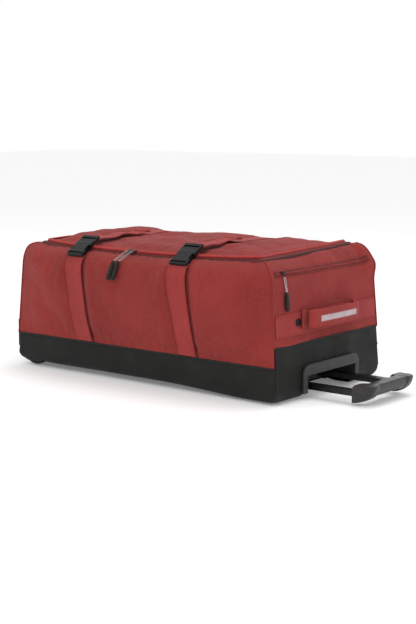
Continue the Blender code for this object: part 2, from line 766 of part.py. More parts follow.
def handle_cup(parts, cutters):
    """The moulded recess for the grip, with its arch-shaped bezel on the end of the bag."""
    face_x = HANDLE_END_X + 2 * GAP
    outline = arch_outline(0.107, 0.0735, 0.0145, 0.0235, 0.020)
    frame = Matrix(((0, 0, 1, face_x + 0.00225), (1, 0, 0, 0), (0, 1, 0, 0), (0, 0, 0, 1)))
    bezel = as_mesh(plate("handle_cup", outline, 0.0045, frame, None, parts), parts)
    paint(bezel, GREY_PLASTIC)
    half = CUP_HALF_WIDTH + FABRIC
    back = HANDLE_END_X - CUP_DEPTH
    body = box("cup_body", (back - FABRIC, -half, BASE_Z + 0.0005), (face_x + 0.001, half, CUP_HEIGHT_Z + FABRIC),
               None, cutters)
    combine(bezel, body, "UNION", cutters)
    inside = box("cup_inside", (back, -CUP_HALF_WIDTH, -0.05), (face_x + 0.05, CUP_HALF_WIDTH, CUP_HEIGHT_Z),
                 None, cutters)
    combine(bezel, inside, "DIFFERENCE", cutters)
    width = STAGE1_SIZE[0] / 2 + GAP
    height = STAGE1_SIZE[1] / 2 + GAP
    for side in (-1, 1):
        y = side * ROD_Y
        hole = box("rod_hole_%d" % side, (back - 0.02, y - width, ROD_Z - height),
                   (back + 0.02, y + width, ROD_Z + height), None, cutters)
        combine(bezel, hole, "DIFFERENCE", cutters)


def grip_section(across):
    """Inner X, outer X and how far the grip drops at a place from 0, middle, to 1, end."""
    ear_start = 1 - EAR_LENGTH / GRIP_HALF_WIDTH
    swell = min(1.0, max(0.0, (across - ear_start + 0.06) / 0.12))
    swell = swell * swell * (3 - 2 * swell)
    tip = max(0.0, (across - 0.90) / 0.10) ** 2
    inner = GRIP_OUTER_X - GRIP_DEPTH + 0.012 * (1 - swell)
    outer = GRIP_OUTER_X - 0.004 * (1 - swell) - 0.005 * tip
    return inner, outer, GRIP_DROP + (EAR_DROP - GRIP_DROP) * swell


def grip_ring(share, top):
    """The half section of the grip at a place from -1 to 1, upper (top 1) or lower (top -1)."""
    inner, outer, drop = grip_section(abs(share))
    height = GRIP_TOP if top > 0 else drop
    slope = 0.012 if top > 0 else 0.003
    radius = min(height, (outer - inner) * 0.5)
    ring = [(inner, 0), (inner, height * 0.5), (inner + slope, height)]
    arc = 8
    for step in range(arc + 1):
        angle = math.radians(90 - 90 * step / arc)
        ring.append((outer - radius + radius * math.cos(angle), height * math.sin(angle)))
    return [(x, share * GRIP_HALF_WIDTH, ROD_Z + top * (rise + GAP / 2)) for x, rise in ring]


def grip_half(name, top, parts, cutters):
    """One moulded half of the grip, lofted along its length and hollowed for the release bar."""
    shape = bmesh.new()
    stations = 28
    rings = []
    for station in range(stations + 1):
        ring = grip_ring(2 * station / stations - 1, top)
        rings.append([shape.verts.new(point) for point in ring])
    count = len(rings[0])
    for ring, following in zip(rings, rings[1:]):
        for index in range(count):
            after = (index + 1) % count
            shape.faces.new((ring[index], ring[after], following[after], following[index]))
    shape.faces.new(rings[0])
    shape.faces.new(rings[-1])
    bmesh.ops.recalc_face_normals(shape, faces=shape.faces)
    item = add_object(name, mesh_from(name, shape), GREY_PLASTIC, parts)
    for label, low, high in grip_hollows():
        combine(item, box(name + label, low, high, None, cutters), "DIFFERENCE", cutters)
    return item


def grip_hollows():
    """Boxes taken out of the grip: two rod sockets, the release channel and the trigger slot."""
    ear_x = GRIP_OUTER_X - GRIP_DEPTH
    wide = STAGE2_SIZE[0] / 2 + GAP
    high = STAGE2_SIZE[1] / 2 + GAP
    hollows = []
    for side in (-1, 1):
        low = (ear_x - 0.01, side * ROD_Y - wide, ROD_Z - high)
        hollows.append(("_socket_%d" % side, low, (ear_x + 0.0125, side * ROD_Y + wide, ROD_Z + high)))
    low = (ear_x + 0.0120, -0.077, ROD_Z - 0.0045)
    hollows.append(("_channel", low, (ear_x + 0.0290, 0.077, ROD_Z + 0.0045)))
    low = (ear_x - 0.01, -0.0305, ROD_Z - 0.0055)
    hollows.append(("_slot", low, (ear_x + 0.0290, 0.0305, ROD_Z + 0.0055)))
    return hollows


def release(parts, cutters):
    """The squeeze trigger with its bar inside the grip, and the rods that run down the tubes."""
    ear_x = GRIP_OUTER_X - GRIP_DEPTH
    bar_low = (ear_x + 0.0170, -0.075, ROD_Z - 0.0040)
    bar_high = (ear_x + 0.0230, 0.075, ROD_Z + 0.0040)
    bar = box("release_trigger", bar_low, bar_high, BLACK_PLASTIC, parts)
    pad_low = (ear_x + 0.0080, -0.0295, ROD_Z - 0.0050)
    pad = box("trigger_pad", pad_low, (ear_x + 0.0200, 0.0295, ROD_Z + 0.0050), None, cutters, bevel=0.0015)
    combine(bar, pad, "UNION", cutters)
    start = HANDLE_END_X - CUP_DEPTH - 0.110
    for side, label in ((-1, "near"), (1, "far")):
        middle = ((start + ear_x + 0.0165) / 2, side * ROD_Y, ROD_Z)
        length = ear_x + 0.0165 - start
        cylinder("release_rod_" + label, middle, (1, 0, 0), 0.002, length, BRIGHT_METAL, parts, sides=12)


def slider(parts, name, place, outward, along, finish):
    """A zip slider: a low wedge with a bridge for its link."""
    out = Vector(outward).normalized()
    run = Vector(along).normalized()
    frame = Matrix.Identity(4)
    frame.col[0][:3] = run
    frame.col[1][:3] = out.cross(run)
    frame.col[2][:3] = out
    frame.translation = place
    body = box(name, (-0.0055, -0.0045, 0), (0.0055, 0.0045, 0.0042), finish, parts, bevel=0.0012, segments=1)
    body.matrix_world = frame @ Matrix.Translation(body.location)
    return body


def zip_pull(parts, label, pivot, direction, droop, side_axis, link_length=0.036, grip_length=0.046):
    """A metal link and a rubber grip, both swinging from the slider."""
    link_dir = Vector(direction).normalized()
    grip_dir = Vector(droop).normalized()
    side = Vector(side_axis).normalized()
    half = 0.0032
    link_end = pivot + link_dir * link_length
    points = [pivot + side * half, link_end + side * half * 0.6, link_end - side * half * 0.6, pivot - side * half]
    link = tube("pull_link_" + label, points, 0.0010, BRIGHT_METAL, parts, resolution=0, cyclic=True)
    grip_start = link_end + grip_dir * 0.0018
    frame = Matrix.Identity(4)
    frame.col[0][:3] = side
    frame.col[1][:3] = grip_dir
    frame.col[2][:3] = side.cross(grip_dir)
    frame.translation = grip_start
    grip = box("pull_grip_" + label, (-0.0052, 0, -0.0024), (0.0052, grip_length, 0.0024), RUBBER, parts, bevel=0.0018)
    grip.matrix_world = frame @ Matrix.Translation(grip.location)
    return link


def zip_sliders(parts):
    """Two sliders meeting on the front of the main zip and one at the near end of the pocket zip."""
    for label, x in (("main_left", MID_X - 0.028), ("main_right", MID_X - 0.014)):
        place = side_point(-1, x, 1) + Vector((0, -0.0022, 0.0062))
        slider(parts, "zip_slider_" + label, place, (0, -0.35, 1), (1, 0, 0), DARK_METAL)
        pivot = place + MAIN_PIVOT
        tilt = math.radians(32)
        droop = math.radians(72)
        direction = (-PULL_LEAN, -math.cos(tilt), -math.sin(tilt))
        hang = (-PULL_LEAN, -math.cos(droop), -math.sin(droop))
        zip_pull(parts, label, pivot, direction, hang, (1, 0, 0))
    share = pocket_share()
    place = raised(end_surface, 0.085, share, 0.0024, (1, 0, 0))
    outward = (place - Vector(end_point(1, -0.83, share))).normalized()
    slider(parts, "zip_slider_pocket", place, outward, (0, 1, 0), DARK_METAL)
    pivot = place + POCKET_PIVOT
    zip_pull(parts, "pocket", pivot, (0.20, 0, -1), (0.075, 0, -1), (0, 1, 0), link_length=0.0290, grip_length=0.040)


def build():
    clear_scene()
    parts = new_collection("rolling_duffel_bag")
    cutters = new_collection("cutters", hidden=True)
    base_tub(parts, cutters)
    base_end_wall(parts)
    fabric_panels(parts)
    lid(parts)
    zips(parts)
    end_band(parts)
    grab_handle(parts)
    for label, offset in (("left", -STRAP_OFFSET_X), ("right", STRAP_OFFSET_X)):
        centre_x = MID_X + STRAP_SHIFT_X + offset
        straps(parts, label, centre_x)
        buckle(parts, cutters, label, centre_x)
    for label, side in (("near", -1), ("far", 1)):
        wheel(parts, cutters, label, side)
    skid_rails(parts)
    trolley(parts, cutters)
    handle_cup(parts, cutters)
    grip_half("grip_upper", 1, parts, cutters)
    grip_half("grip_lower", -1, parts, cutters)
    release(parts, cutters)
    zip_sliders(parts)


build()
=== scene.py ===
"""Looks of the rolling duffel bag: fabric, straps, zips, plastics and the studio round it."""

import math

import bmesh
import bpy
import numpy as np
from mathutils import Matrix, Vector, noise


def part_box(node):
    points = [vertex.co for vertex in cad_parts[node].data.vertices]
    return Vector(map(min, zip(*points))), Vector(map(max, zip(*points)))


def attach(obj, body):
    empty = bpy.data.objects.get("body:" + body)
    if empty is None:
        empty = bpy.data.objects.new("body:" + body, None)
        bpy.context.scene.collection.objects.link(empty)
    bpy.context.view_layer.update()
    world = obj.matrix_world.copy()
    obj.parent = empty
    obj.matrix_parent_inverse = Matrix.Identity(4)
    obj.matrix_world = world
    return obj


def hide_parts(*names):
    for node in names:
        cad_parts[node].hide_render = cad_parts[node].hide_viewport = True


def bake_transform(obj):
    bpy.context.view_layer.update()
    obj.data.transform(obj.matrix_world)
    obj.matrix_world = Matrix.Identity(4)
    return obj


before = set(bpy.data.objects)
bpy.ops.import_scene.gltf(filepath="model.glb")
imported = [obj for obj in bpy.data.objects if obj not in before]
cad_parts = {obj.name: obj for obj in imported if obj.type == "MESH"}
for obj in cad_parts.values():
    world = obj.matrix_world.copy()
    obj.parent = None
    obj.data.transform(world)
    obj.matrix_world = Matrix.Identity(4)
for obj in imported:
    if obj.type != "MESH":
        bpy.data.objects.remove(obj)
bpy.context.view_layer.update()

# The bag's driving dimensions, in metres, as the CAD has them.
MID_X = -0.079
HALF_LENGTH = 0.3835
HALF_DEPTH = 0.205
BASE_Z = 0.012
SEAM_Z = 0.078
END_SEAM_Z = 0.1205
TOP_Z = 0.297
SHOULDER_RISE = 0.050
STRAIGHT_SHARE = 0.62
SHOULDER_ANGLE = math.radians(75)
ZIP_SAG = 0.008
STRAP_X = {"left": -0.245, "right": 0.061}
STRAP_LEAN = 0.010
BAND_LOW_Z = 0.140
BAND_HIGH_Z = 0.187
HANDLE_Z = 0.1715
FOOT_X = 0.2996
POCKET_ZIP_Z = 0.2705
ROD_Z = 0.0245
GRIP_OUTER_X = 0.4655
GRIP_DEPTH = 0.050
GRIP_HALF_WIDTH = 0.088
LENGTH_TAPER = 0.070
DEPTH_TAPER = 0.046
CUP_OPENING = ((0.2280, -0.0962, -0.05), (0.36, 0.0962, 0.0537))
PRESSURE = 1.6
PUFF_CAP = 0.0045
PUFF_FRAMES = 14
TEETH_PITCH = 0.0026


# ---- materials
def add(tree, kind, inputs=None, **settings):
    """A shader node with its settings and inputs, values or sockets to link from."""
    node = tree.nodes.new(kind)
    for key, value in settings.items():
        setattr(node, key, value)
    for key, value in (inputs or {}).items():
        if isinstance(value, bpy.types.NodeSocket):
            tree.links.new(value, node.inputs[key])
        else:
            node.inputs[key].default_value = value
    return node


def calc(tree, operation, first, second=0.0, third=0.0):
    node = add(tree, "ShaderNodeMath", {0: first, 1: second, 2: third}, operation=operation)
    return node.outputs[0]


def mixed(tree, factor, first, second):
    node = add(tree, "ShaderNodeMix", {0: factor, 6: first, 7: second}, data_type="RGBA")
    return node.outputs[2]


def noise_of(tree, scale, detail=3.0, stretch=(1, 1, 1)):
    place = add(tree, "ShaderNodeTexCoord").outputs["Object"]
    scaled = add(tree, "ShaderNodeMapping", {"Vector": place, "Scale": stretch}).outputs[0]
    inputs = {"Vector": scaled, "Scale": scale, "Detail": detail}
    return add(tree, "ShaderNodeTexNoise", inputs).outputs[0]


def remap(tree, value, low, high, to_low=0.0, to_high=1.0):
    inputs = {"Value": value, "From Min": low, "From Max": high}
    inputs.update({"To Min": to_low, "To Max": to_high})
    return add(tree, "ShaderNodeMapRange", inputs).outputs[0]


def mottle(tree, scale, detail, low=0.0, high=1.0):
    """Noise spread over the values from low to high."""
    return remap(tree, noise_of(tree, scale, detail), 0.3, 0.7, low, high)


def new_look(name, roughness, metallic=0.0, **sockets):
    look = bpy.data.materials.new(name)
    look.use_nodes = True
    shader = look.node_tree.nodes["Principled BSDF"]
    shader.inputs["Roughness"].default_value = roughness
    shader.inputs["Metallic"].default_value = metallic
    for key, value in sockets.items():
        shader.inputs[key.replace("_", " ")].default_value = value
    return look, look.node_tree, shader


def finish_look(tree, shader, color, tone, shades, roughness, height, strength, distance):
    """Mixes two shades of the colour by tone, and adds the roughness and the bump."""
    low, high = [(*(part * factor for part in color), 1) for factor in shades]
    tree.links.new(mixed(tree, tone, low, high), shader.inputs["Base Color"])
    tree.links.new(roughness, shader.inputs["Roughness"])
    bump = add(tree, "ShaderNodeBump", {0: strength, 1: distance, "Height": height})
    tree.links.new(bump.outputs[0], shader.inputs["Normal"])


def waves(tree, pitch_u, pitch_v):
    """Two sines along the UV map, which is in metres."""
    place = add(tree, "ShaderNodeUVMap", uv_map="UVMap").outputs[0]
    split = add(tree, "ShaderNodeSeparateXYZ", {0: place})
    turns_u = calc(tree, "MULTIPLY", split.outputs[0], 2 * math.pi / pitch_u)
    turns_v = calc(tree, "MULTIPLY", split.outputs[1], 2 * math.pi / pitch_v)
    return calc(tree, "SINE", turns_u), calc(tree, "SINE", turns_v), split


def fabric(name, color, pitch=0.0015, grid=0.0052, sheen=0.05):
    """Plain weave with a raised ripstop grid, mottled and slightly faded."""
    gloss = {"Sheen_Weight": sheen, "Sheen_Roughness": 0.5, "Specular_IOR_Level": 0.16}
    look, tree, shader = new_look(name, 0.8, **gloss)
    across, along, split = waves(tree, pitch, pitch)
    weave = calc(tree, "MULTIPLY", across, along)
    lines = []
    for output in (0, 1):
        share = calc(tree, "FRACT", calc(tree, "DIVIDE", split.outputs[output], grid))
        lines.append(calc(tree, "ABSOLUTE", calc(tree, "SUBTRACT", share, 0.5)))
    ripstop = remap(tree, calc(tree, "MAXIMUM", lines[0], lines[1]), 0.40, 0.47)
    slub = noise_of(tree, 560, 2, (0.35, 0.35, 1))
    tone = calc(tree, "MULTIPLY_ADD", weave, 0.10, mottle(tree, 7, 4, 0.15, 0.75))
    tone = calc(tree, "MULTIPLY_ADD", ripstop, -0.22, tone)
    tone = calc(tree, "ADD", tone, remap(tree, slub, 0.35, 0.65, -0.24, 0.24))
    height = calc(tree, "MULTIPLY_ADD", weave, 0.35, calc(tree, "MULTIPLY", ripstop, 0.8))
    rough = mottle(tree, 30, 3, 0.74, 0.90)
    finish_look(tree, shader, color, tone, (1.18, 0.74), rough, height, 0.55, 0.00035)
    return look


def webbing(name, color, pitch=0.0016, rib=0.0021):
    """Ribbed webbing: lengthwise cords crossed by a fine pick."""
    look, tree, shader = new_look(name, 0.7, Sheen_Weight=0.05, Specular_IOR_Level=0.2)
    along, across = waves(tree, pitch, rib)[:2]
    height = calc(tree, "MULTIPLY_ADD", calc(tree, "MULTIPLY", along, across), 0.5, across)
    tone = calc(tree, "MULTIPLY_ADD", height, -0.13, mottle(tree, 18, 4, 0.1, 0.8))
    rough = mottle(tree, 90, 3, 0.62, 0.82)
    finish_look(tree, shader, color, tone, (1.08, 0.80), rough, height, 0.6, 0.00040)
    return look


def coated(name, color):
    """Heavy coated cloth: a fine pebble over a faint weave, with scuffs."""
    look, tree, shader = new_look(name, 0.6, Specular_IOR_Level=0.16)
    across, along = waves(tree, 0.0022, 0.0022)[:2]
    pebble = noise_of(tree, 900, 2)
    scuff = remap(tree, noise_of(tree, 24, 6), 0.54, 0.74)
    worn = remap(tree, noise_of(tree, 5, 3), 0.35, 0.7)
    tone = calc(tree, "MULTIPLY_ADD", scuff, 0.45, calc(tree, "MULTIPLY", worn, 0.4))
    height = calc(tree, "MULTIPLY_ADD", calc(tree, "MULTIPLY", across, along), 0.35, pebble)
    rough = mottle(tree, 16, 5, 0.48, 0.70)
    finish_look(tree, shader, color, tone, (0.9, 1.5), rough, height, 0.45, 0.0004)
    return look


def moulded(name, color, roughness, grain=1400, wear=1.7, coat=0.0):
    """Moulded plastic or rubber: fine grain, uneven gloss and lighter rubbed patches."""
    gloss = {"Specular_IOR_Level": 0.22, "Coat_Weight": coat}
    look, tree, shader = new_look(name, roughness, **gloss)
    rubbed = remap(tree, noise_of(tree, 35, 6), 0.52, 0.75)
    pointed = add(tree, "ShaderNodeNewGeometry").outputs["Pointiness"]
    edge = remap(tree, pointed, 0.53, 0.62)
    worn = calc(tree, "MULTIPLY", rubbed, 0.4)
    tone = calc(tree, "MAXIMUM", worn, calc(tree, "MULTIPLY", edge, 0.7))
    rough = mottle(tree, 60, 4, roughness - 0.07, roughness + 0.08)
    height = noise_of(tree, grain, 2)
    finish_look(tree, shader, color, tone, (0.95, wear), rough, height, 0.25, 0.00025)
    return look


def metal(name, color, roughness):
    """Metal with fine lines along it and faint tarnish."""
    look, tree, shader = new_look(name, roughness, metallic=1.0)
    lines = noise_of(tree, 120, 3, (1, 30, 30))
    rough = remap(tree, lines, 0.3, 0.7, roughness - 0.06, roughness + 0.09)
    tone = mottle(tree, 45, 5)
    finish_look(tree, shader, color, tone, (1.0, 0.75), rough, lines, 0.12, 0.0002)
    return look


def reflective(name, color):
    """Retroreflective tape: a pearly sheet with a fine cell pattern."""
    look, tree, shader = new_look(name, 0.32, metallic=0.35, Coat_Weight=0.3)
    place = add(tree, "ShaderNodeTexCoord").outputs["Object"]
    cells = add(tree, "ShaderNodeTexVoronoi", {"Vector": place, "Scale": 420.0}).outputs[0]
    tone = mottle(tree, 60, 4)
    rough = remap(tree, cells, 0.0, 0.7, 0.26, 0.45)
    finish_look(tree, shader, color, tone, (1.05, 0.86), rough, cells, 0.3, 0.0003)
    return look


COATED = ("black_coated_fabric", "black_coated_fabric")
LOOKS = {
    "red_fabric": fabric("red_ripstop", (0.232, 0.0265, 0.0235)),
    "red_webbing": webbing("red_webbing", (0.315, 0.0335, 0.031)),
    # Lighter than the fabric: a painted highlight on the lid lip's rounded edge.
    "red_binding_painted_highlight": webbing("red_binding_painted_highlight", (0.41, 0.036, 0.032), 0.0010, 0.0012),
    # Very dark cord colour: painted shadow under the lid's lip and beside the straps, partly seam
    # thread on the straps' right edges.
    "red_seam": webbing("cord_seam_and_painted_shade", (0.060, 0.009, 0.008), 0.0010, 0.0012),
    # Darker than the fabric: partly the tape's own colour and partly painted shade for the dark line
    # under the lid's lip.
    "red_tape_and_painted_shade": webbing("red_zip_tape_and_painted_shade", (0.13, 0.016, 0.015), 0.0010, 0.0014),
    "red_thread": moulded("red_thread", (0.24, 0.030, 0.028), 0.8),
    "red_teeth": moulded("red_zip_coil", (0.20, 0.026, 0.024), 0.5),
    "black_coated_fabric": coated("black_coated_cloth", (0.0095, 0.0097, 0.0088)),
    "black_binding": webbing("black_binding", (0.013, 0.013, 0.013), 0.0010, 0.0012),
    "lining": fabric("grey_lining", (0.055, 0.056, 0.060), 0.0010, 0.004, 0.1),
    "black_plastic": moulded("black_plastic", (0.0045, 0.0048, 0.0050), 0.33),
    "grey_plastic": moulded("grey_plastic", (0.030, 0.030, 0.029), 0.50, 900),
    "grip_plastic": moulded("grip_plastic", (0.026, 0.025, 0.025), 0.33, 1100, 1.4, 0.10),
    "soft_rubber": moulded("pull_rubber", (0.0045, 0.0080, 0.0068), 0.45),
    "tyre_rubber": moulded("tyre_rubber", (0.016, 0.016, 0.016), 0.72, 700),
    "bright_steel": metal("bright_steel", (0.62, 0.62, 0.60), 0.28),
    "black_metal": metal("black_anodised_metal", (0.035, 0.035, 0.036), 0.34),
    "rod_metal": metal("grey_anodised_metal", (0.040, 0.040, 0.040), 0.34),
    "reflective_tape": reflective("reflective_tape", (0.43, 0.33, 0.35)),
    "cover_board": moulded("cover_board", (0.05, 0.05, 0.05), 0.7),
}


# ---- mesh tools
def put(item, look, slot, body="root", replaces=()):
    """Give a finished piece its look and its body, and hide the CAD nodes that it stands for; the
    slot argument is not used.
    """
    item.data.materials.clear()
    item.data.materials.append(LOOKS[look])
    if body:
        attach(item, body)
    if replaces:
        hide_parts(*replaces)
    return item


def link_mesh(name, points, faces, uvs=None):
    mesh = bpy.data.meshes.new(name)
    mesh.from_pydata([tuple(point) for point in points], [], faces)
    if uvs is not None:
        layer = mesh.uv_layers.new(name="UVMap")
        loops = np.zeros(len(mesh.loops), np.int32)
        mesh.loops.foreach_get("vertex_index", loops)
        layer.data.foreach_set("uv", np.asarray(uvs, float)[loops].ravel())
    mesh.polygons.foreach_set("use_smooth", [True] * len(mesh.polygons))
    mesh.update()
    item = bpy.data.objects.new(name, mesh)
    bpy.context.scene.collection.objects.link(item)
    return item


def grid_piece(name, points, outward):
    """A surface through a grid of points, facing outward, its UV map in metres."""
    rows, columns = points.shape[:2]
    normals = unit(np.cross(np.gradient(points, axis=0), np.gradient(points, axis=1)))
    if normals.mean((0, 1)) @ np.array(outward, float) < 0:
        points = points[::-1]
    step_u = np.linalg.norm(np.diff(points, axis=0), axis=2).mean(1)
    step_v = np.linalg.norm(np.diff(points, axis=1), axis=2).mean(0)
    place_u = np.concatenate([[0], np.cumsum(step_u)])
    place_v = np.concatenate([[0], np.cumsum(step_v)])
    uvs = np.stack(np.meshgrid(place_u, place_v, indexing="ij"), 2).reshape(-1, 2)
    faces = []
    for row in range(rows - 1):
        for column in range(columns - 1):
            corner = row * columns + column
            faces.append((corner, corner + columns, corner + columns + 1, corner + 1))
    return link_mesh(name, points.reshape(-1, 3), faces, uvs)


def thicken(item, thickness, offset=-1.0):
    depth = item.modifiers.new("Thickness", "SOLIDIFY")
    depth.thickness = thickness
    depth.offset = offset
    return item


def smooth(item):
    finer = item.modifiers.new("Smooth", "SUBSURF")
    finer.levels = 1
    finer.render_levels = 1
    return item


def unit(vectors):
    return vectors / np.maximum(np.linalg.norm(vectors, axis=-1, keepdims=True), 1e-9)


def run_length(points):
    """How far along a polyline each of its points is."""
    return np.concatenate([[0], np.cumsum(np.linalg.norm(np.diff(points, axis=0), axis=1))])


def tube_faces(rings, width, cyclic=False):
    """Quads between closed rings of points, capped at both ends unless the rings close up."""
    faces = []
    for ring in range(rings if cyclic else rings - 1):
        here, there = ring * width, (ring + 1) % rings * width
        for index in range(width):
            after = (index + 1) % width
            faces.append((here + index, here + after, there + after, there + index))
    if not cyclic:
        faces.append(tuple(range(width))[::-1])
        faces.append(tuple((rings - 1) * width + index for index in range(width)))
    return faces


def face_outward(item, merge):
    """Merges points closer than merge and turns every face outward."""
    shape = bmesh.new()
    shape.from_mesh(item.data)
    if merge:
        bmesh.ops.remove_doubles(shape, verts=shape.verts, dist=merge)
    bmesh.ops.recalc_face_normals(shape, faces=shape.faces)
    shape.to_mesh(item.data)
    shape.free()


def sweep(name, path, ups, profile, scale=None, cyclic=False):
    """A closed profile of (side, up) points carried along a path; ups is up on the way."""
    path = np.asarray(path, float)
    ups = np.broadcast_to(np.asarray(ups, float), path.shape)
    profile = np.asarray(profile, float)
    tangent = unit(np.gradient(path, axis=0))
    if cyclic:
        tangent = unit(np.roll(path, -1, 0) - np.roll(path, 1, 0))
    side = unit(np.cross(tangent, ups))
    up = np.cross(side, tangent)
    scale = np.ones(len(path)) if scale is None else np.asarray(scale, float)
    rings = (path[:, None] + scale[:, None, None] * (profile[None, :, :1] * side[:, None]
             + profile[None, :, 1:] * up[:, None]))
    places = np.meshgrid(run_length(path), run_length(profile), indexing="ij")
    uvs = np.stack(places, 2).reshape(-1, 2)
    faces = tube_faces(len(path), len(profile), cyclic)
    return link_mesh(name, rings.reshape(-1, 3), faces, uvs)


def oval(half_side, half_up, count=10, power=1.0):
    """Closed profile: an ellipse, squarer as power falls below 1."""
    turn = np.linspace(0, 2 * np.pi, count, endpoint=False)
    cosine, sine = np.cos(turn), np.sin(turn)
    return np.stack([half_side * np.sign(cosine) * np.abs(cosine) ** power,
                     half_up * np.sign(sine) * np.abs(sine) ** power], 1)


def flat_profile(width, thickness, count=9):
    """Closed webbing profile: nearly flat, with soft edges."""
    places = np.linspace(-1, 1, count)
    rise = thickness / 2 * (1 - np.abs(places) ** 8 * 0.7)
    top = np.stack([places * width / 2, rise], 1)
    return np.concatenate([top, (top * (1, -1))[::-1]])


def resample(points, step):
    """Even points along a polyline."""
    points = np.asarray(points, float)
    length = run_length(points)
    places = np.linspace(0, length[-1], max(3, int(length[-1] / step)))
    return np.stack([np.interp(places, length, points[:, axis]) for axis in range(3)], 1)


def eased(points, rounds=2):
    """Corner cutting that keeps both ends."""
    points = np.asarray(points, float)
    for _ in range(rounds):
        first = points[:-1] * 0.75 + points[1:] * 0.25
        second = points[:-1] * 0.25 + points[1:] * 0.75
        middle = np.stack([first, second], 1).reshape(-1, 3)
        points = np.concatenate([points[:1], middle, points[-1:]])
    return points


def blocks(name, places, runs, ups, size):
    """Many small bevelled blocks in one mesh: zip teeth or stitches."""
    half = np.array(size) / 2
    corners = np.array([(x, y, z) for x in (-1, 1) for y in (-1, 1) for z in (-1, 1)], float)
    corners[corners[:, 2] > 0, :2] *= 0.72
    corners *= half
    quads = [(0, 1, 3, 2), (4, 6, 7, 5), (0, 4, 5, 1), (2, 3, 7, 6), (1, 5, 7, 3)]
    points, faces = [], []
    for place, run, up in zip(places, unit(np.asarray(runs)), unit(np.asarray(ups))):
        side = np.cross(up, run)
        start = len(points)
        basis = np.array([run, side, up])
        points.extend(place + corners @ basis)
        faces.extend([tuple(start + index for index in quad) for quad in quads])
    item = link_mesh(name, points, faces, np.zeros((len(points), 2)))
    for polygon in item.data.polygons:
        polygon.use_smooth = False
    return item


def stitches(name, path, up, body="root", pitch=0.0042, slot="red_webbing", lift=0.0002):
    """A run of thread dashes along a path."""
    path = resample(path, pitch)
    ups = np.broadcast_to(np.asarray(up, float), path.shape)
    runs = np.gradient(path, axis=0)
    item = blocks(name, path + unit(ups) * lift, runs, ups, (pitch * 0.62, 0.0008, 0.0007))
    return put(item, "red_thread", slot, body)


def zip_teeth(name, path, ups):
    """Interlocking coil teeth, alternate ones from either side."""
    path = resample(path, TEETH_PITCH)
    runs = unit(np.gradient(path, axis=0))
    ups = unit(np.broadcast_to(np.asarray(ups, float), path.shape))
    sides = np.cross(ups, runs)
    sign = np.where(np.arange(len(path)) % 2, 1.0, -1.0)[:, None]
    size = (TEETH_PITCH * 0.72, 0.0034, 0.0016)
    item = blocks(name, path + sides * sign * 0.0009, runs, ups, size)
    return put(item, "red_teeth", "red_webbing")


def soft_noise(points, scale, seed):
    """Smooth noise from about -1 to 1 at each point."""
    flat = np.asarray(points).reshape(-1, 3)
    shift = Vector((seed * 7.31, seed * 3.17, seed * 5.77))
    values = [noise.noise(Vector(point) * scale + shift) for point in flat]
    return np.array(values).reshape(np.asarray(points).shape[:-1]) * 1.6


def cut(item, low, high):
    """Takes a box out of a piece."""
    shape = bmesh.new()
    bmesh.ops.create_cube(shape, size=1)
    middle = (Vector(low) + Vector(high)) / 2
    size = Vector(high) - Vector(low)
    place = Matrix.Translation(middle) @ Matrix.Diagonal((*size, 1))
    bmesh.ops.transform(shape, matrix=place, verts=shape.verts)
    mesh = bpy.data.meshes.new("cutter")
    shape.to_mesh(mesh)
    shape.free()
    cutter = bpy.data.objects.new("cutter", mesh)
    bpy.context.scene.collection.objects.link(cutter)
    boolean = item.modifiers.new("Cut", "BOOLEAN")
    boolean.object = cutter
    boolean.solver = "EXACT"
    evaluated = item.evaluated_get(bpy.context.evaluated_depsgraph_get())
    result = bpy.data.meshes.new_from_object(evaluated)
    item.modifiers.clear()
    item.data = result
    bpy.data.objects.remove(cutter)


# ---- the bag's surfaces
def skin(v):
    """Half length, half depth and height of the upper bag, from base seam (0) to zip (1)."""
    v = np.asarray(v, float)
    shoulder_z = TOP_Z - SHOULDER_RISE
    turn = SHOULDER_ANGLE * np.clip((v - STRAIGHT_SHARE) / (1 - STRAIGHT_SHARE), 0, 1)
    height = SEAM_Z + (shoulder_z - SEAM_Z) * np.minimum(v / STRAIGHT_SHARE, 1)
    height = height + SHOULDER_RISE * np.sin(turn) / math.sin(SHOULDER_ANGLE)
    rounding = 1 - np.cos(turn)
    half_length = HALF_LENGTH - LENGTH_TAPER * (height - BASE_Z) - 0.055 * rounding
    half_depth = HALF_DEPTH - DEPTH_TAPER * (height - BASE_Z) - 0.035 * rounding
    return half_length, half_depth, height


def stacked(x, y, z):
    """Points from coordinates of any matching shapes."""
    return np.stack(np.broadcast_arrays(x, y, z), -1)


def matched(first, second):
    """Two values or arrays as arrays of one shape."""
    return [np.array(part, float) for part in np.broadcast_arrays(first, second)]


def hump(offset, width):
    return np.exp(-(offset / width) ** 2)


def share_at(height):
    return STRAIGHT_SHARE * (height - SEAM_Z) / (TOP_Z - SHOULDER_RISE - SEAM_Z)


def side_points(side, x, v):
    half_length, half_depth, height = skin(v)
    x = matched(x, half_length)[0]
    across = np.clip((x - MID_X) / half_length, -1, 1)
    swell, bow = (0.039, 0.8) if side < 0 else (0.0452, 1.0)
    swell = swell * (1 - across ** 4) * np.sin(np.pi * bow * np.asarray(v))
    drop = ZIP_SAG * (1 - across ** 2) * np.asarray(v) ** 4 if side < 0 else 0
    return stacked(x, side * (half_depth + swell), height - drop)


def end_points(end, across, v):
    half_length, half_depth, height = skin(v)
    across = matched(across, half_length)[0]
    swell = 0.007 * (1 - across ** 2) * np.sin(np.pi * np.asarray(v)) if end < 0 else 0
    return stacked(MID_X + end * (half_length + swell), across * half_depth, height)


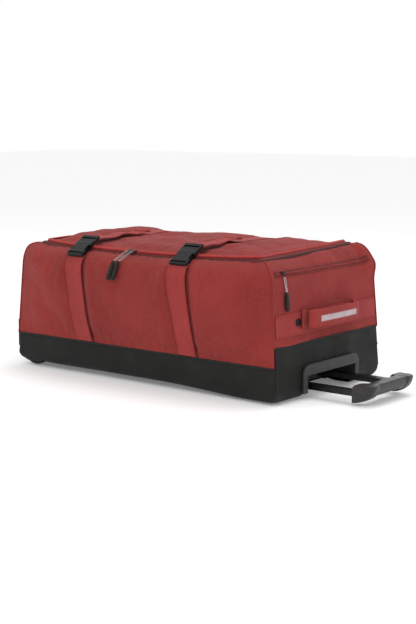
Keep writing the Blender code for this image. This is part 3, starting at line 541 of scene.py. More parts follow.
def lid_points(x, share):
    """The lid's uneven crown at x, and at share from -1 at the front to 1 at the rear."""
    half_length, half_depth, height = skin(1)
    x, share = matched(x, share)
    across = np.clip((x - MID_X) / (half_length - 0.010), -1, 1)
    fuller = 1 + 0.45 * hump(x + 0.345, 0.05) - 0.25 * hump(x + 0.165, 0.07)
    crown = 0.017 * fuller * (1 - np.abs(across) ** 7) * (1 - np.abs(share) ** 4)
    front = side_points(-1, x, 1)[..., 1] + 0.006
    rear = half_depth - 0.006
    drop = ZIP_SAG * (1 - across ** 2) * ((1 - share) / 2) ** 2
    y = front + (rear - front) * (share + 1) / 2
    return stacked(x, y, height + 0.004 + crown - drop)


def settle(points):
    """The fabric's unevenness: the top's rear corners stand fuller than its front ones."""
    points = np.array(points, float)
    x, y, z = points[..., 0], points[..., 1], points[..., 2]
    rise = np.clip((z - SEAM_Z) / 0.22, 0, 1) ** 3
    rear = np.clip((y + 0.17) / 0.34, 0, 1) ** 1.5
    right = np.clip((x - 0.12) / 0.14, 0, 1) ** 2
    left = np.clip((-0.28 - x) / 0.10, 0, 1) ** 2
    most = 1 - math.cos(SHOULDER_ANGLE)
    lifted = np.clip((z - TOP_Z + SHOULDER_RISE) / SHOULDER_RISE, 0, 1) * math.sin(SHOULDER_ANGLE)
    rounding = (1 - np.sqrt(1 - lifted ** 2)) / most
    points[..., 0] -= 0.055 * most * (rounding - rounding ** 4) * fade(-x, 0.25, 0.14)
    corner = fade(z, 0.268, 0.030) * rear * right
    beyond_zip = fade(y, 0.150, 0.022) * fade(z, 0.225, 0.040) * right
    points[..., 2] += 0.016 * corner + 0.006 * beyond_zip * (1 - corner)
    points[..., 2] += 0.005 * rise * rear * left
    points[..., 0] += 0.003 * corner + 0.008 * beyond_zip
    return points


def fade(value, start, width):
    """0 before start, rising smoothly to 1 a width later."""
    step = np.clip((np.asarray(value) - start) / width, 0, 1)
    return step * step * (3 - 2 * step)


def side_relief(side, x, v, straps=True):
    """How far the fabric stands off its mean surface: puffs, strap dents and creases."""
    half_length, _, height = skin(v)
    across = np.clip((x - MID_X) / half_length, -1, 1)
    border = (1 - np.abs(across) ** 10) * fade(v, 0.0, 0.07) * fade(1 - v, 0.0, 0.06)
    flat = stacked(x, side * 0.3, height)
    relief = 0.0028 * soft_noise(flat, 7.0, 1 + side) + 0.0011 * soft_noise(flat, 19.0, 3 + side)
    for centre in STRAP_X.values():
        offset = x - centre - STRAP_LEAN * (1 - v)
        pressed = np.sin(np.pi * np.clip(v, 0, 1)) ** 0.6
        relief = relief - 0.0042 * pressed * hump(offset, 0.027)
        relief = relief + 0.0022 * pressed * hump(np.abs(offset) - 0.045, 0.014)
        if straps:
            relief = relief - 0.0022 * pressed * hump(offset + 0.0275, 0.0035)
            relief = relief - 0.0016 * pressed * hump(offset - 0.0275, 0.0035)
    if not straps:
        return relief * border
    turn = x * 250 + 3 * soft_noise(flat, 9.0, 6)
    gathers = 0.0007 * np.sin(turn) * (hump(1 - v, 0.10) + hump(v, 0.09))
    drag = (x + 0.40) * 0.8 + (height - 0.10) * 1.5
    folds = 0.0030 * np.sin(drag * 32 + 1.5 * soft_noise(flat, 5.0, 9)) * hump(x + 0.38, 0.07)
    turn = (height + 0.35 * x) * 170 + 2 * soft_noise(flat, 6.0, 4)
    low = 0.0012 * np.sin(turn) * hump(v, 0.25)
    fine = 0.00045 * soft_noise(flat, 60.0, 8)
    near_seam = fade(v, 0.0, 0.03) * fade(1 - v, 0.0, 0.02)
    return (relief + folds + low + fine) * border + gathers * near_seam


def outward_normal(place, side, along, v, axis):
    """Unit normals of side_points or end_points, pointing out along an axis."""
    step = 0.004
    slope = place(side, along, np.minimum(v + step, 1)) - place(side, along, np.maximum(v - step, 0))
    normal = 0 * slope
    normal[..., axis] = slope[..., 2]
    normal[..., 2] = -slope[..., axis]
    normal = unit(normal)
    return normal * np.where(normal[..., axis:axis + 1] * side < 0, -1, 1)


def side_surface(side, x, v, lift=0.0, straps=True):
    """The visible front or rear surface, with its relief, lifted off by a little."""
    x, v = matched(x, v)
    normal = outward_normal(side_points, side, x, v, 1)
    amount = side_relief(side, x, v, straps) + lift
    return side_points(side, x, v) + normal * amount[..., None]


def end_surface(end, across, v, lift=0.0):
    """The visible end surface, slightly puffed between its seams."""
    across, v = matched(across, v)
    normal = outward_normal(end_points, end, across, v, 0)
    flat = end_points(end, across, v)
    border = (1 - np.abs(across) ** 8) * fade(v, 0.0, 0.06) * fade(1 - v, 0.0, 0.06)
    above, below = share_at(BAND_LOW_Z) - 0.05, share_at(BAND_HIGH_Z) + 0.05
    band = 1 - 0.85 * fade(v, above, 0.05) * fade(below - v, 0, 0.05)
    relief = 0.0022 * soft_noise(flat, 9.0, 12) + 0.0008 * soft_noise(flat, 26.0, 13)
    relief = relief + 0.0004 * soft_noise(flat, 60.0, 14)
    amount = relief * border * band + lift
    return flat + normal * amount[..., None]


def mesh_space(rows, columns, low=0.0, high=1.0):
    """Two coordinates over a surface: -1 to 1 along its rows, low to high up its columns."""
    across, up = np.linspace(-1, 1, rows), np.linspace(low, high, columns)
    return np.meshgrid(across, up, indexing="ij")


# ---- cloth
def near_strap(x, z):
    """1 where a strap holds the fabric down, 0 away from them."""
    held = 0 * x
    for centre in STRAP_X.values():
        lean = STRAP_LEAN * np.clip((TOP_Z - z) / (TOP_Z - SEAM_Z), 0, 1)
        held = np.maximum(held, 1 - fade(np.abs(x - centre - lean), 0.030, 0.014))
    return held


def side_held(points):
    x, z = points[:, 0], points[:, 2]
    share = np.clip((z - SEAM_Z) / (TOP_Z - SEAM_Z), 0, 1)
    edge = np.abs(x - MID_X) / (HALF_LENGTH - LENGTH_TAPER * (z - BASE_Z))
    border = [1 - fade(share, 0.01, 0.09), fade(share, 0.86, 0.09), fade(edge, 0.86, 0.10)]
    return np.maximum.reduce([*border, near_strap(x, z)])


def lid_held(points):
    x, y, z = points.T
    edge = np.maximum(np.abs(x - MID_X) / 0.3128, np.abs(y + 0.0115) / 0.1715)
    return np.maximum(fade(edge, 0.84, 0.10), near_strap(x, 0 * z + TOP_Z))


def puff(item, held):
    """Inflates a sheet held at its seams and straps by cloth simulation; applies the result."""
    count = len(item.data.vertices)
    start = np.zeros(count * 3)
    item.data.vertices.foreach_get("co", start)
    start = start.reshape(-1, 3)
    group = item.vertex_groups.new(name="held")
    for index, weight in enumerate(held(start)):
        group.add([index], float(weight), "REPLACE")
    cloth = item.modifiers.new("Cloth", "CLOTH")
    cloth.settings.vertex_group_mass = "held"
    cloth.settings.quality = 5
    cloth.settings.mass = 0.3
    cloth.settings.tension_stiffness = 14
    cloth.settings.compression_stiffness = 14
    cloth.settings.bending_stiffness = 0.25
    cloth.settings.shrink_min = -0.010
    cloth.settings.use_pressure = True
    cloth.settings.uniform_pressure_force = PRESSURE
    cloth.settings.effector_weights.gravity = 0
    cloth.collision_settings.use_collision = False
    cloth.point_cache.frame_end = PUFF_FRAMES
    for frame_number in range(1, PUFF_FRAMES + 1):
        bpy.context.scene.frame_set(frame_number)
    evaluated = item.evaluated_get(bpy.context.evaluated_depsgraph_get())
    moved = np.zeros(count * 3)
    evaluated.data.vertices.foreach_get("co", moved)
    step = moved.reshape(-1, 3) - start
    length = np.linalg.norm(step, axis=1, keepdims=True)
    step *= np.tanh(length / PUFF_CAP) * PUFF_CAP / np.maximum(length, 1e-9)
    item.modifiers.remove(cloth)
    item.vertex_groups.remove(group)
    item.data.vertices.foreach_set("co", (start + step).ravel())
    item.data.update()
    bpy.context.scene.frame_set(1)


# ---- red and black shell
def side_face(side, name, node):
    across, v = mesh_space(230, 96)
    x = MID_X + across * skin(v)[0]
    face = grid_piece(name, settle(side_surface(side, x, v)), (0, side, 0))
    puff(face, side_held)
    thicken(face, 0.0012)
    return put(smooth(face), "red_fabric", "red_fabric", replaces=[node])


def end_faces():
    across, v = mesh_space(120, 80, share_at(END_SEAM_Z))
    face = grid_piece("handle_end_face", settle(end_surface(1, across, v)), (1, 0, 0))
    thicken(face, 0.0012)
    put(smooth(face), "red_fabric", "red_fabric", replaces=["handle_end_panel"])
    across, height = mesh_space(120, 20, 0.031, END_SEAM_Z)
    reach = HALF_LENGTH - LENGTH_TAPER * (height - BASE_Z) + 0.0006
    depth = HALF_DEPTH - DEPTH_TAPER * (height - BASE_Z) - 0.0035
    face = grid_piece("base_end_face", stacked(MID_X + reach, across * depth, height), (1, 0, 0))
    thicken(face, 0.0012)
    cut(face, *CUP_OPENING)
    face.data.shade_smooth()
    put(face, *COATED, replaces=["base_end_wall"])
    across, v = mesh_space(110, 80)
    face = grid_piece("wheel_end_face", settle(end_surface(-1, across, v)), (-1, 0, 0))
    thicken(face, 0.0012)
    put(smooth(face), *COATED, replaces=["wheel_end_panel"])


def rounded_ring(half_x, half_y, radius, height):
    """A closed loop of points round a rectangle with round corners."""
    points = []
    for quarter, (side_x, side_y) in enumerate(((1, 1), (-1, 1), (-1, -1), (1, -1))):
        turn = np.radians(90 * quarter + np.linspace(0, 90, 13))
        arc_x = MID_X + side_x * (half_x - radius) + radius * np.cos(turn)
        arc = stacked(arc_x, side_y * (half_y - radius) + radius * np.sin(turn), height)
        if points:
            points.append(np.linspace(points[-1][-1], arc[0], 72)[1:-1])
        points.append(arc)
    points.append(np.linspace(points[-1][-1], points[0][0], 72)[1:])
    return np.concatenate(points)


def base_shell():
    """The coated tub: sides, round lower edge and floor in one loft, slack past the rails."""
    round_edge = 0.020
    rows = [(share, 0.0) for share in np.linspace(1, 0.34, 9)]
    turn = np.linspace(0.1, 1, 8) * np.pi / 2
    rows += [(0.33 * (1 - math.sin(angle)), 1 - math.cos(angle)) for angle in turn]
    rows = rows + [(0.0, 1 + inset) for inset in (0.6, 1.6, 3.2, 5.5, 8.0)]
    points = np.zeros((len(rounded_ring(1, 1, 0.1, 0)), len(rows), 3))
    for column, (rise, inset) in enumerate(rows):
        height = BASE_Z + rise * (SEAM_Z - BASE_Z)
        half_x = HALF_LENGTH - LENGTH_TAPER * (height - BASE_Z) - inset * round_edge
        half_y = HALF_DEPTH - DEPTH_TAPER * (height - BASE_Z) - inset * round_edge
        radius = min(0.006 + 0.016 * min(inset, 1), half_x, half_y)
        points[:, column] = rounded_ring(half_x, half_y, radius, height)
    low = 1 - fade(points[..., 2], 0.014, 0.030)
    beside_rail = fade(np.abs(points[..., 1]), 0.130, 0.020)
    past_rails = fade(points[..., 0], 0.205, 0.035)
    slack = np.maximum(past_rails, fade(points[..., 0], -0.02, 0.26) * beside_rail)
    points[..., 2] -= 0.0085 * low * slack
    bulge = 0.0014 * soft_noise(points, 11.0, 21) + 0.0006 * soft_noise(points, 35.0, 22)
    outward = unit(points - points.mean((0, 1)))
    mask = (1 - fade(points[..., 2], 0.062, 0.016)) * (1 - fade(points[..., 0], 0.262, 0.022))
    points = points + outward * (bulge * mask)[..., None]
    shell = grid_piece("base_shell", points, (0, 0, 0))
    shape = bmesh.new()
    shape.from_mesh(shell.data)
    bmesh.ops.remove_doubles(shape, verts=shape.verts, dist=0.00005)
    rim = [edge for edge in shape.edges if edge.is_boundary and edge.verts[0].co.z < 0.03]
    bmesh.ops.holes_fill(shape, edges=rim, sides=0)
    bmesh.ops.recalc_face_normals(shape, faces=shape.faces)
    near_wall = [face for face in shape.faces if face.calc_center_median().y < -0.19]
    if sum(face.normal.y for face in near_wall) > 0:
        bmesh.ops.reverse_faces(shape, faces=shape.faces)
    shape.to_mesh(shell.data)
    shape.free()
    thicken(shell, 0.0016)
    for side in (-1, 1):
        ends = sorted((side * 0.1405, side * 0.1975))
        cut(shell, (-0.52, ends[0], -0.05), (-0.3868, ends[1], 0.13))
    cut(shell, *CUP_OPENING)
    shell.data.shade_smooth()
    return put(shell, *COATED, replaces=["base_tub"])


def lining():
    """Open-topped inner shell and the covered floor over the trolley board."""
    steps = np.linspace(0, 2 * np.pi, 240, endpoint=False)
    heights = np.linspace(0, 1, 26)
    points = np.zeros((len(steps) + 1, len(heights), 3))
    for column, v in enumerate(heights):
        half_length, half_depth, height = skin(v)
        cosine, sine = np.cos(steps), np.sin(steps)
        x = np.sign(cosine) * np.abs(cosine) ** 0.25
        y = np.sign(sine) * np.abs(sine) ** 0.25
        left = float(half_length) - 0.008 - 0.066 * (1 - float(fade(height, 0.110, 0.03)))
        reach = np.where(x < 0, left, float(half_length) - 0.008)
        ring_y = y * (float(half_depth) - 0.007)
        ring = stacked(MID_X + x * reach, ring_y, height - 0.003 - 0.007 * v)
        points[:, column] = np.concatenate([ring, ring[:1]])
    shell = grid_piece("lining_walls", points, (0, 0, 0))
    thicken(shell, 0.0006, 0.0)
    put(smooth(shell), "lining", "red_fabric")
    x, y = mesh_space(120, 70, -0.185, 0.185)
    x = -0.0495 + 0.3355 * x
    over_cup = fade(x, 0.205, 0.018) * (1 - fade(np.abs(y), 0.100, 0.030))
    z = 0.0425 + 0.0150 * over_cup + 0.0012 * soft_noise(stacked(x, y, 0), 16.0, 30)
    z = z + 0.030 * fade(np.abs(y), 0.165, 0.020)
    floor = grid_piece("lining_floor", stacked(x, y, z), (0, 0, 1))
    thicken(floor, 0.0008)
    put(smooth(floor), "lining", "red_fabric")


def corner_piping():
    """Cord piping up the four corners and a binding along the base seam."""
    v = np.linspace(0.0, 0.985, 60)
    for end, end_name in ((-1, "wheel"), (1, "handle")):
        run = np.unique(np.maximum(v, share_at(END_SEAM_Z) if end > 0 else 0.0))
        half_length, half_depth, height = skin(run)
        x = MID_X + end * (half_length + 0.0006)
        for side, side_name in ((-1, "near"), (1, "far")):
            path = settle(stacked(x, side * (half_depth + 0.0006), height))
            name = "piping_%s_%s" % (end_name, side_name)
            item = sweep(name, path, (end, side, 0), oval(0.0015, 0.0015))
            put(item, "red_fabric", "red_webbing")
    for side, name in ((-1, "front"), (1, "rear")):
        x = np.linspace(MID_X - skin(0)[0] + 0.001, MID_X + skin(0)[0] - 0.001, 150)
        path = side_points(side, x, 0.0) + (0, side * 0.0008, 0)
        item = sweep("base_binding_" + name, path, (0, side, 0), oval(0.0026, 0.0011, 10, 0.7))
        put(item, "black_binding", "black_coated_fabric")
        path = settle(side_surface(side, x, 0.035, 0.0001))
        stitches("seam_stitch_" + name, path, (0, side, 0), slot="red_fabric")
    path = end_points(1, np.linspace(-1, 1, 60), share_at(END_SEAM_Z)) + (0.0008, 0, 0)
    item = sweep("base_binding_end", path, (1, 0, 0), oval(0.0022, 0.0010, 10, 0.7))
    put(item, "black_binding", "black_coated_fabric")


# ---- zips and lid
def u_path(inset, lift, count=90):
    """A U round the two ends and the bowed front of the zip line, open at the rear."""
    half_length, half_depth, height = (float(value) for value in skin(1))
    reach = half_length - inset
    corner = 0.012
    rear = half_depth - 0.014
    x = MID_X + np.linspace(-(reach - corner), reach - corner, count)
    front = side_points(-1, x, 1) + (0, inset * 0.45, lift)
    points = []
    for end in (-1, 1):
        edge = front[0] if end < 0 else front[-1]
        centre_y = edge[1] + corner
        turn = np.radians(np.linspace(0, 80, 7))
        arc_x = MID_X + end * (reach - corner + corner * np.cos(turn))
        arc = stacked(arc_x, centre_y - corner * np.sin(turn), edge[2])
        y = np.linspace(rear, centre_y, 40, endpoint=False)
        straight = stacked(MID_X + end * reach, y, height + lift)
        ease = fade(y, centre_y, 0.06)
        straight[:, 2] = straight[:, 2] * ease + edge[2] * (1 - ease)
        points.append(np.concatenate([straight, arc]))
    return settle(np.concatenate([points[0], front, points[1][::-1]]))


def lean_up(path, lean=0.55):
    """Up directions along the zip line, leaning outward from the middle of the lid."""
    outward = path * (1, 1, 0) - (MID_X, 0, 0)
    outward[:, 0] = np.where(np.abs(outward[:, 0]) > 0.29, outward[:, 0], 0)
    outward[:, 1] = np.where(path[:, 1] < -0.145, outward[:, 1], 0)
    return unit(unit(outward) * lean + (0, 0, 1))


def main_zip():
    path = u_path(0.0, 0.0010)
    tape = sweep("main_zip_tape", path, lean_up(path), flat_profile(0.0170, 0.0011))
    put(tape, "red_tape_and_painted_shade", "red_webbing", replaces=["main_zip"])
    path = u_path(0.0015, 0.0024)
    zip_teeth("main_zip_teeth", path, lean_up(resample(path, TEETH_PITCH)))
    # A very dark binding below the lid's lip: a painted shadow under the lip's overhang.
    path = u_path(-0.0040, -0.0002)
    item = sweep("zip_binding_painted_shadow", path, lean_up(path, 0.9), oval(0.0032, 0.0013, 10, 0.7))
    put(item, "red_seam", "red_webbing")


def pocket_share():
    rise = (POCKET_ZIP_Z - TOP_Z + SHOULDER_RISE) * math.sin(SHOULDER_ANGLE) / SHOULDER_RISE
    return STRAIGHT_SHARE + (1 - STRAIGHT_SHARE) * math.asin(rise) / SHOULDER_ANGLE


def pocket_zip():
    share = pocket_share()
    across, v = mesh_space(90, 5, share - 0.036, share + 0.036)
    tape = settle(end_surface(1, across * 0.93, v, 0.0014))
    tape = grid_piece("pocket_zip_tape", tape, (1, 0, 0.4))
    thicken(tape, 0.0010)
    put(tape, "red_tape_and_painted_shade", "red_webbing", replaces=["end_pocket_zip"])
    line = end_surface(1, np.linspace(-0.91, 0.91, 60), share, 0.0020)
    zip_teeth("pocket_zip_teeth", settle(line), (0.75, 0, 0.66))
    for offset, name in ((-0.030, "low"), (0.030, "high")):
        line = settle(end_surface(1, np.linspace(-0.92, 0.92, 80), share + offset, 0.0016))
        stitches("pocket_stitch_" + name, line, (0.75, 0, 0.66))


def hinge_strip():
    """The sewn strip that the lid folds on, along the rear of the zip line."""
    half_length, half_depth, height = (float(value) for value in skin(1))
    x = np.linspace(MID_X - half_length + 0.004, MID_X + half_length - 0.004, 120)
    path = settle(stacked(x, half_depth - 0.0020, height + 0.0006))
    strip = sweep("lid_hinge_strip", path, (0, 0.35, 1), flat_profile(0.0150, 0.0014))
    put(strip, "red_fabric", "red_fabric")


def lid_surface(x, share):
    """The lid's visible top, with slack folds between the straps and the edge."""
    points = lid_points(x, share)
    across = np.clip((points[..., 0] - MID_X) / (float(skin(1)[0]) - 0.010), -1, 1)
    border = (1 - np.abs(across) ** 14) * (1 - np.abs(np.asarray(share)) ** 14)
    relief = 0.0020 * soft_noise(points, 9.0, 40) + 0.0009 * soft_noise(points, 24.0, 41)
    relief = relief + 0.0003 * soft_noise(points, 70.0, 44)
    for centre in STRAP_X.values():
        offset = points[..., 0] - centre
        relief = relief - 0.0022 * hump(offset, 0.026)
        relief = relief + 0.0016 * hump(np.abs(offset) - 0.046, 0.015)
    drag = (points[..., 0] * 0.5 + points[..., 1] * 1.4) * 70 + 2.5 * soft_noise(points, 7.0, 42)
    relief = relief + 0.0016 * np.sin(drag) * hump(np.asarray(share) + 0.55, 0.45)
    for centre in STRAP_X.values():
        pulled = points[..., 0] - centre - 0.030 - 0.30 * (points[..., 1] + 0.165)
        length = fade(points[..., 1], -0.175, 0.03) * (1 - fade(points[..., 1], -0.03, 0.05))
        relief = relief - 0.0032 * length * hump(pulled, 0.0050)
        relief = relief + 0.0022 * length * hump(pulled - 0.013, 0.0080)
    return points + stacked(0, 0, relief * border)


def bend_at_hinge(piece):
    """Bakes the piece's world placement into its mesh."""
    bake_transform(piece)


def lid():
    across, share = mesh_space(210, 110, -1, 1)
    x = MID_X + across * (float(skin(1)[0]) - 0.010)
    top = grid_piece("lid_top", settle(lid_surface(x, share)), (0, 0, 1))
    puff(top, lid_held)
    thicken(top, 0.0030)
    put(smooth(top), "red_fabric", "red_fabric", None, ["lid_panel"])
    bend_at_hinge(top)
    path = u_path(0.0095, 0.0074)
    lip = sweep("lid_lip", path, lean_up(path, 0.8), oval(0.0036, 0.0023, 12, 0.85))
    # The lip's lighter binding colour is a painted highlight.
    put(lip, "red_binding_painted_highlight", "red_webbing", None, ["lid_piping"])
    bend_at_hinge(lip)
    path = u_path(0.0150, 0.0098)
    bend_at_hinge(stitches("lid_stitch", path, (0, 0, 1), None, lift=0.0004))


# ---- straps
def strap_grid(name, place, width, length_count, outward, body="root", nodes=()):
    """Webbing through place(offset, share)."""
    offset, share = mesh_space(9, length_count)
    item = grid_piece(name, settle(place(offset * width / 2, share)), outward)
    thicken(item, 0.0019, 0.0)
    return put(smooth(item), "red_webbing", "red_webbing", body, nodes)


def edge_stitches(name, place, offset, share, outward, lift, body="root"):
    """A line of stitching near either edge of the webbing through place(offset, share)."""
    for side, side_name in ((-1, "left"), (1, "right")):
        line = place(np.full_like(share, side * offset), share) + np.array(outward) * lift
        stitches(name + "_" + side_name, settle(line), outward, body, 0.0036)


def front_strap(label):
    centre = STRAP_X[label]

    def place(offset, share):
        v = 0.012 + 0.855 * share
        middle = centre + STRAP_LEAN * (1 - share)
        stand = 0.0014 + 0.0034 * fade(share, 0.45, 0.35)
        twist = 0.0010 * np.sin(share * 5) * offset / 0.025
        base = side_surface(-1, middle + 0 * offset, v, straps=False)
        across = side_surface(-1, middle + offset, v, straps=False)
        blend = base * 0.5 + across * 0.5
        blend[..., 0] = across[..., 0]
        return blend + stacked(0, -(stand + 0.0014 + twist), 0.3 * stand)

    name, outward = "strap_front_", (0, -1, 0)
    strap_grid(name + label, place, 0.050, 70, outward, nodes=["strap_lower_" + label])
    share = np.linspace(0.02, 0.97, 90)
    edge_stitches(name + "stitch_" + label, place, 0.0215, share, outward, 0.0012)
    # Dark cords by each strap: the left one is a painted shadow of the fabric fold, and the two on
    # the right are partly seam edges and partly painted shade of the lifted strap edge.
    for offset, name in ((0.0262, "inner"), (0.0296, "outer"), (-0.0262, "left")):
        v = np.linspace(0.012, 0.80, 100)
        x = centre + STRAP_LEAN * (1 - v / 0.8) + offset
        path = settle(side_surface(-1, x, v, 0.0004))
        cord = sweep("strap_seam_%s_%s" % (label, name), path, outward, oval(0.0007, 0.0006, 8))
        put(cord, "red_seam", "red_fabric")


def rear_strap(label):
    centre = STRAP_X[label]

    def place(offset, share):
        v = 0.012 + 0.965 * share
        return side_surface(1, centre + offset, v, 0.0028, straps=False)

    name, outward = "strap_back_", (0, 1, 0)
    strap_grid(name + label, place, 0.050, 80, outward, nodes=["strap_rear_" + label])
    share = np.linspace(0.01, 0.99, 90)
    edge_stitches(name + "stitch_" + label, place, 0.0215, share, outward, 0.0012)


def lid_share_at(x, y):
    front = float(lid_points(x, -1)[1])
    rear = float(lid_points(x, 1)[1])
    return 2 * (y - front) / (rear - front) - 1


def over_lid(centre, start_y, end_y, lift, start_z):
    """A place(offset, share) along the lid between two y values, easing down from start_z."""
    first = lid_share_at(centre, start_y)
    last = lid_share_at(centre, end_y)
    rise = start_z - float(lid_surface(np.array([centre]), np.array([first]))[0, 2])

    def place(offset, share):
        points = lid_surface(centre + 0 * offset, first + (last - first) * share)
        edges = lid_surface(centre + offset, first + (last - first) * share)
        points = points * 0.6 + edges * 0.4
        points[..., 0] = centre + offset
        ease = np.maximum(0, 1 - share / 0.45) ** 2
        slack = 0.0045 * hump(share * (end_y - start_y) - 0.075, 0.045)
        points[..., 2] += lift + (rise - lift) * ease + slack
        return points

    return place


def upper_strap(label, tail_y):
    """The strap from the buckle's crossbar over the lid, with its folded tail."""
    centre, body, up = STRAP_X[label], "strap_" + label, (0, 0, 1)
    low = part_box("strap_upper_" + label)[0]
    crossbar_y = low[1] + 0.001
    start_z = max(low[2] + 0.0018, 0.3115)
    place = over_lid(centre, crossbar_y, 0.120, 0.0013, start_z)
    nodes = ["strap_upper_" + label]
    strap = strap_grid("strap_top_" + label, place, 0.040, 80, up, None, nodes)
    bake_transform(strap)
    tail = over_lid(centre, crossbar_y + 0.004, tail_y, 0.0040, start_z + 0.0022)

    def lifted_tail(offset, share):
        points = tail(offset, share)
        curl = fade(share, 0.72, 0.28)
        ripple = 0.0012 * np.sin(share * 7 + centre * 9) * np.sin(np.pi * share)
        points[..., 2] += 0.0046 * curl + ripple
        points[..., 0] += 0.004 * share
        return points

    strap_grid("strap_tail_" + label, lifted_tail, 0.040, 50, up, body)
    run = lifted_tail(np.linspace(-0.0195, 0.0195, 12), np.full(12, 0.985))
    run = settle(run) + (0, 0.001, 0.0006)
    hem = sweep("strap_hem_" + label, run, up, oval(0.0085, 0.0026, 14, 0.6))
    put(hem, "red_webbing", "red_webbing", body)
    name, share = "strap_tail_stitch_" + label, np.linspace(0.05, 0.9, 60)
    edge_stitches(name, lifted_tail, 0.0165, share, up, 0.0011, body)


# ---- handle end
def end_band():
    low, high = share_at(BAND_LOW_Z), share_at(BAND_HIGH_Z)
    across, v = mesh_space(110, 14, low, high)
    band = settle(end_surface(1, across * 0.975, v, 0.0022))
    band = grid_piece("end_band_webbing", band, (1, 0, 0))
    thicken(band, 0.0018)
    put(smooth(band), "red_webbing", "red_webbing", replaces=["end_band"])
    for share, name in ((0.07, "low"), (0.93, "high")):
        line = end_surface(1, np.linspace(-0.96, 0.96, 90), low + (high - low) * share, 0.0027)
        stitches("band_stitch_" + name, settle(line), (1, 0, 0))
    diagonals = [((-1, -1), (1, 1)), ((-1, 1), (1, -1))]
    sides = [((-1, -1), (-1, 1)), ((1, -1), (1, 1))]
    for label in ("near", "far"):
        first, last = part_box("handle_anchor_" + label)
        path = stacked((first[0] + last[0]) / 2, np.linspace(first[1], last[1], 12), HANDLE_Z)
        pad = sweep("anchor_pad_" + label, path, (1, 0, 0), oval(0.0200, 0.0017, 20, 0.35))
        put(pad, "red_webbing", "red_webbing", replaces=["handle_anchor_" + label])
        middle = np.array([last[0] + 0.0002, (first[1] + last[1]) / 2, HANDLE_Z])
        for turn, ends in enumerate(diagonals + sides):
            ends = [middle + (0, y * 0.0042, z * 0.016) for y, z in ends]
            name = "anchor_stitch_%s_%d" % (label, turn)
            stitches(name, np.linspace(*ends, 20), (1, 0, 0), pitch=0.0030)


def eyelet_core():
    """The dark dished centre of the eyelet, set into its metal ring."""
    low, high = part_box("eyelet")
    centre = [(low[axis] + high[axis]) / 2 for axis in range(3)]
    turn = np.linspace(0, 2 * np.pi, 33)
    radii = np.array([0.0003, 0.0020, 0.0036, 0.0049])
    depth = np.array([-0.0006, -0.0005, -0.0002, 0.0003])
    ring_y = centre[1] + np.outer(np.cos(turn), radii)
    ring_z = centre[2] + np.outer(np.sin(turn), radii)
    core = grid_piece("eyelet_core", stacked(centre[0] + depth, ring_y, ring_z), (1, 0, 0))
    put(thicken(core, 0.0006), "black_plastic", "black_metal")


def grab_handle():
    """A padded loop with a folded edge, and the reflective strip sewn to its face."""
    top_x = FOOT_X + 0.022
    path = [(FOOT_X + 0.0095, -0.0925), (FOOT_X + 0.0150, -0.0895), (top_x - 0.0015, -0.0790)]
    path += [(top_x, -0.066), (top_x + 0.0018, -0.030), (top_x + 0.002, 0)]
    path += [(x, -y) for x, y in path[-2::-1]]
    path = [(x, y, HANDLE_Z) for x, y in path]
    path = resample(eased(path, 3), 0.0022)
    outward = stacked(np.gradient(path[:, 1]), -np.gradient(path[:, 0]), 0)
    share = np.linspace(0, 1, len(path))
    fullness = 1 - 0.03 * np.cos(share * 40)
    section = oval(0.0196, 0.0029, 28, 0.55)
    handle = sweep("grab_handle_pad", path, outward, section, scale=fullness)
    put(smooth(handle), "red_webbing", "red_webbing", "carry_handle", ["grab_handle"])
    lift = unit(outward) * 0.0032
    for offset, name in ((-0.0165, "low"), (0.0165, "high")):
        line = path[6:-6] + lift[6:-6] * 0.97 + (0, 0, offset)
        stitches("handle_stitch_" + name, line, (1, 0, 0), "carry_handle", 0.0036)
    middle = np.abs(path[:, 1]) < 0.068
    strip_path = path[middle] + unit(outward)[middle] * 0.0034
    section = flat_profile(0.0140, 0.0008)
    strip = sweep("reflective_tape_strip", strip_path, outward[middle], section)
    put(strip, "reflective_tape", "reflective_tape", "carry_handle", ["reflective_strip"])
    for offset, name in ((-0.0061, "low"), (0.0061, "high")):
        line = strip_path[1:-1] + (0.0003, 0, offset)
        stitches("strip_stitch_" + name, line, (1, 0, 0), "carry_handle", 0.0034, "reflective_tape")


def pull_grip(node, body):
    """A soft moulded pull with a waist and ribs, along the axis of its CAD solid."""
    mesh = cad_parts[node].data
    corners = np.array([tuple(vertex.co) for vertex in mesh.vertices])
    centre = (corners.max(0) + corners.min(0)) / 2
    axes = np.linalg.eigh(np.cov((corners - centre).T))[1]
    long_axis = axes[:, 2] * (1 if axes[2, 2] < 0 else -1)
    wide_axis, thin_axis = axes[:, 1], axes[:, 0]
    spans = [np.ptp((corners - centre) @ axis) / 2 for axis in (wide_axis, thin_axis, long_axis)]
    turn = np.linspace(0, 2 * np.pi, 20, endpoint=False)
    points = []
    stations = np.linspace(-1, 1, 41)
    for place in stations:
        end = math.sqrt(max(0.0, 1 - abs(place) ** 12))
        waist = 1 - 0.16 * math.exp(-((place + 0.55) / 0.25) ** 2)
        rib = 1 + 0.07 * math.sin(place * 34) * (0.6 > place > -0.4)
        for angle in turn:
            cosine, sine = math.cos(angle), math.sin(angle)
            wide = spans[0] * 1.12 * waist * end * math.copysign(abs(cosine) ** 0.6, cosine)
            thin = spans[1] * 1.05 * rib * end * math.copysign(abs(sine) ** 0.7, sine)
            along = centre + long_axis * place * spans[2] * 0.99
            points.append(along + wide_axis * wide + thin_axis * thin)
    item = link_mesh(node + "_moulded", points, tube_faces(len(stations), len(turn)))
    face_outward(item, 0.00002)
    return put(item, "soft_rubber", "soft_rubber", body, [node])


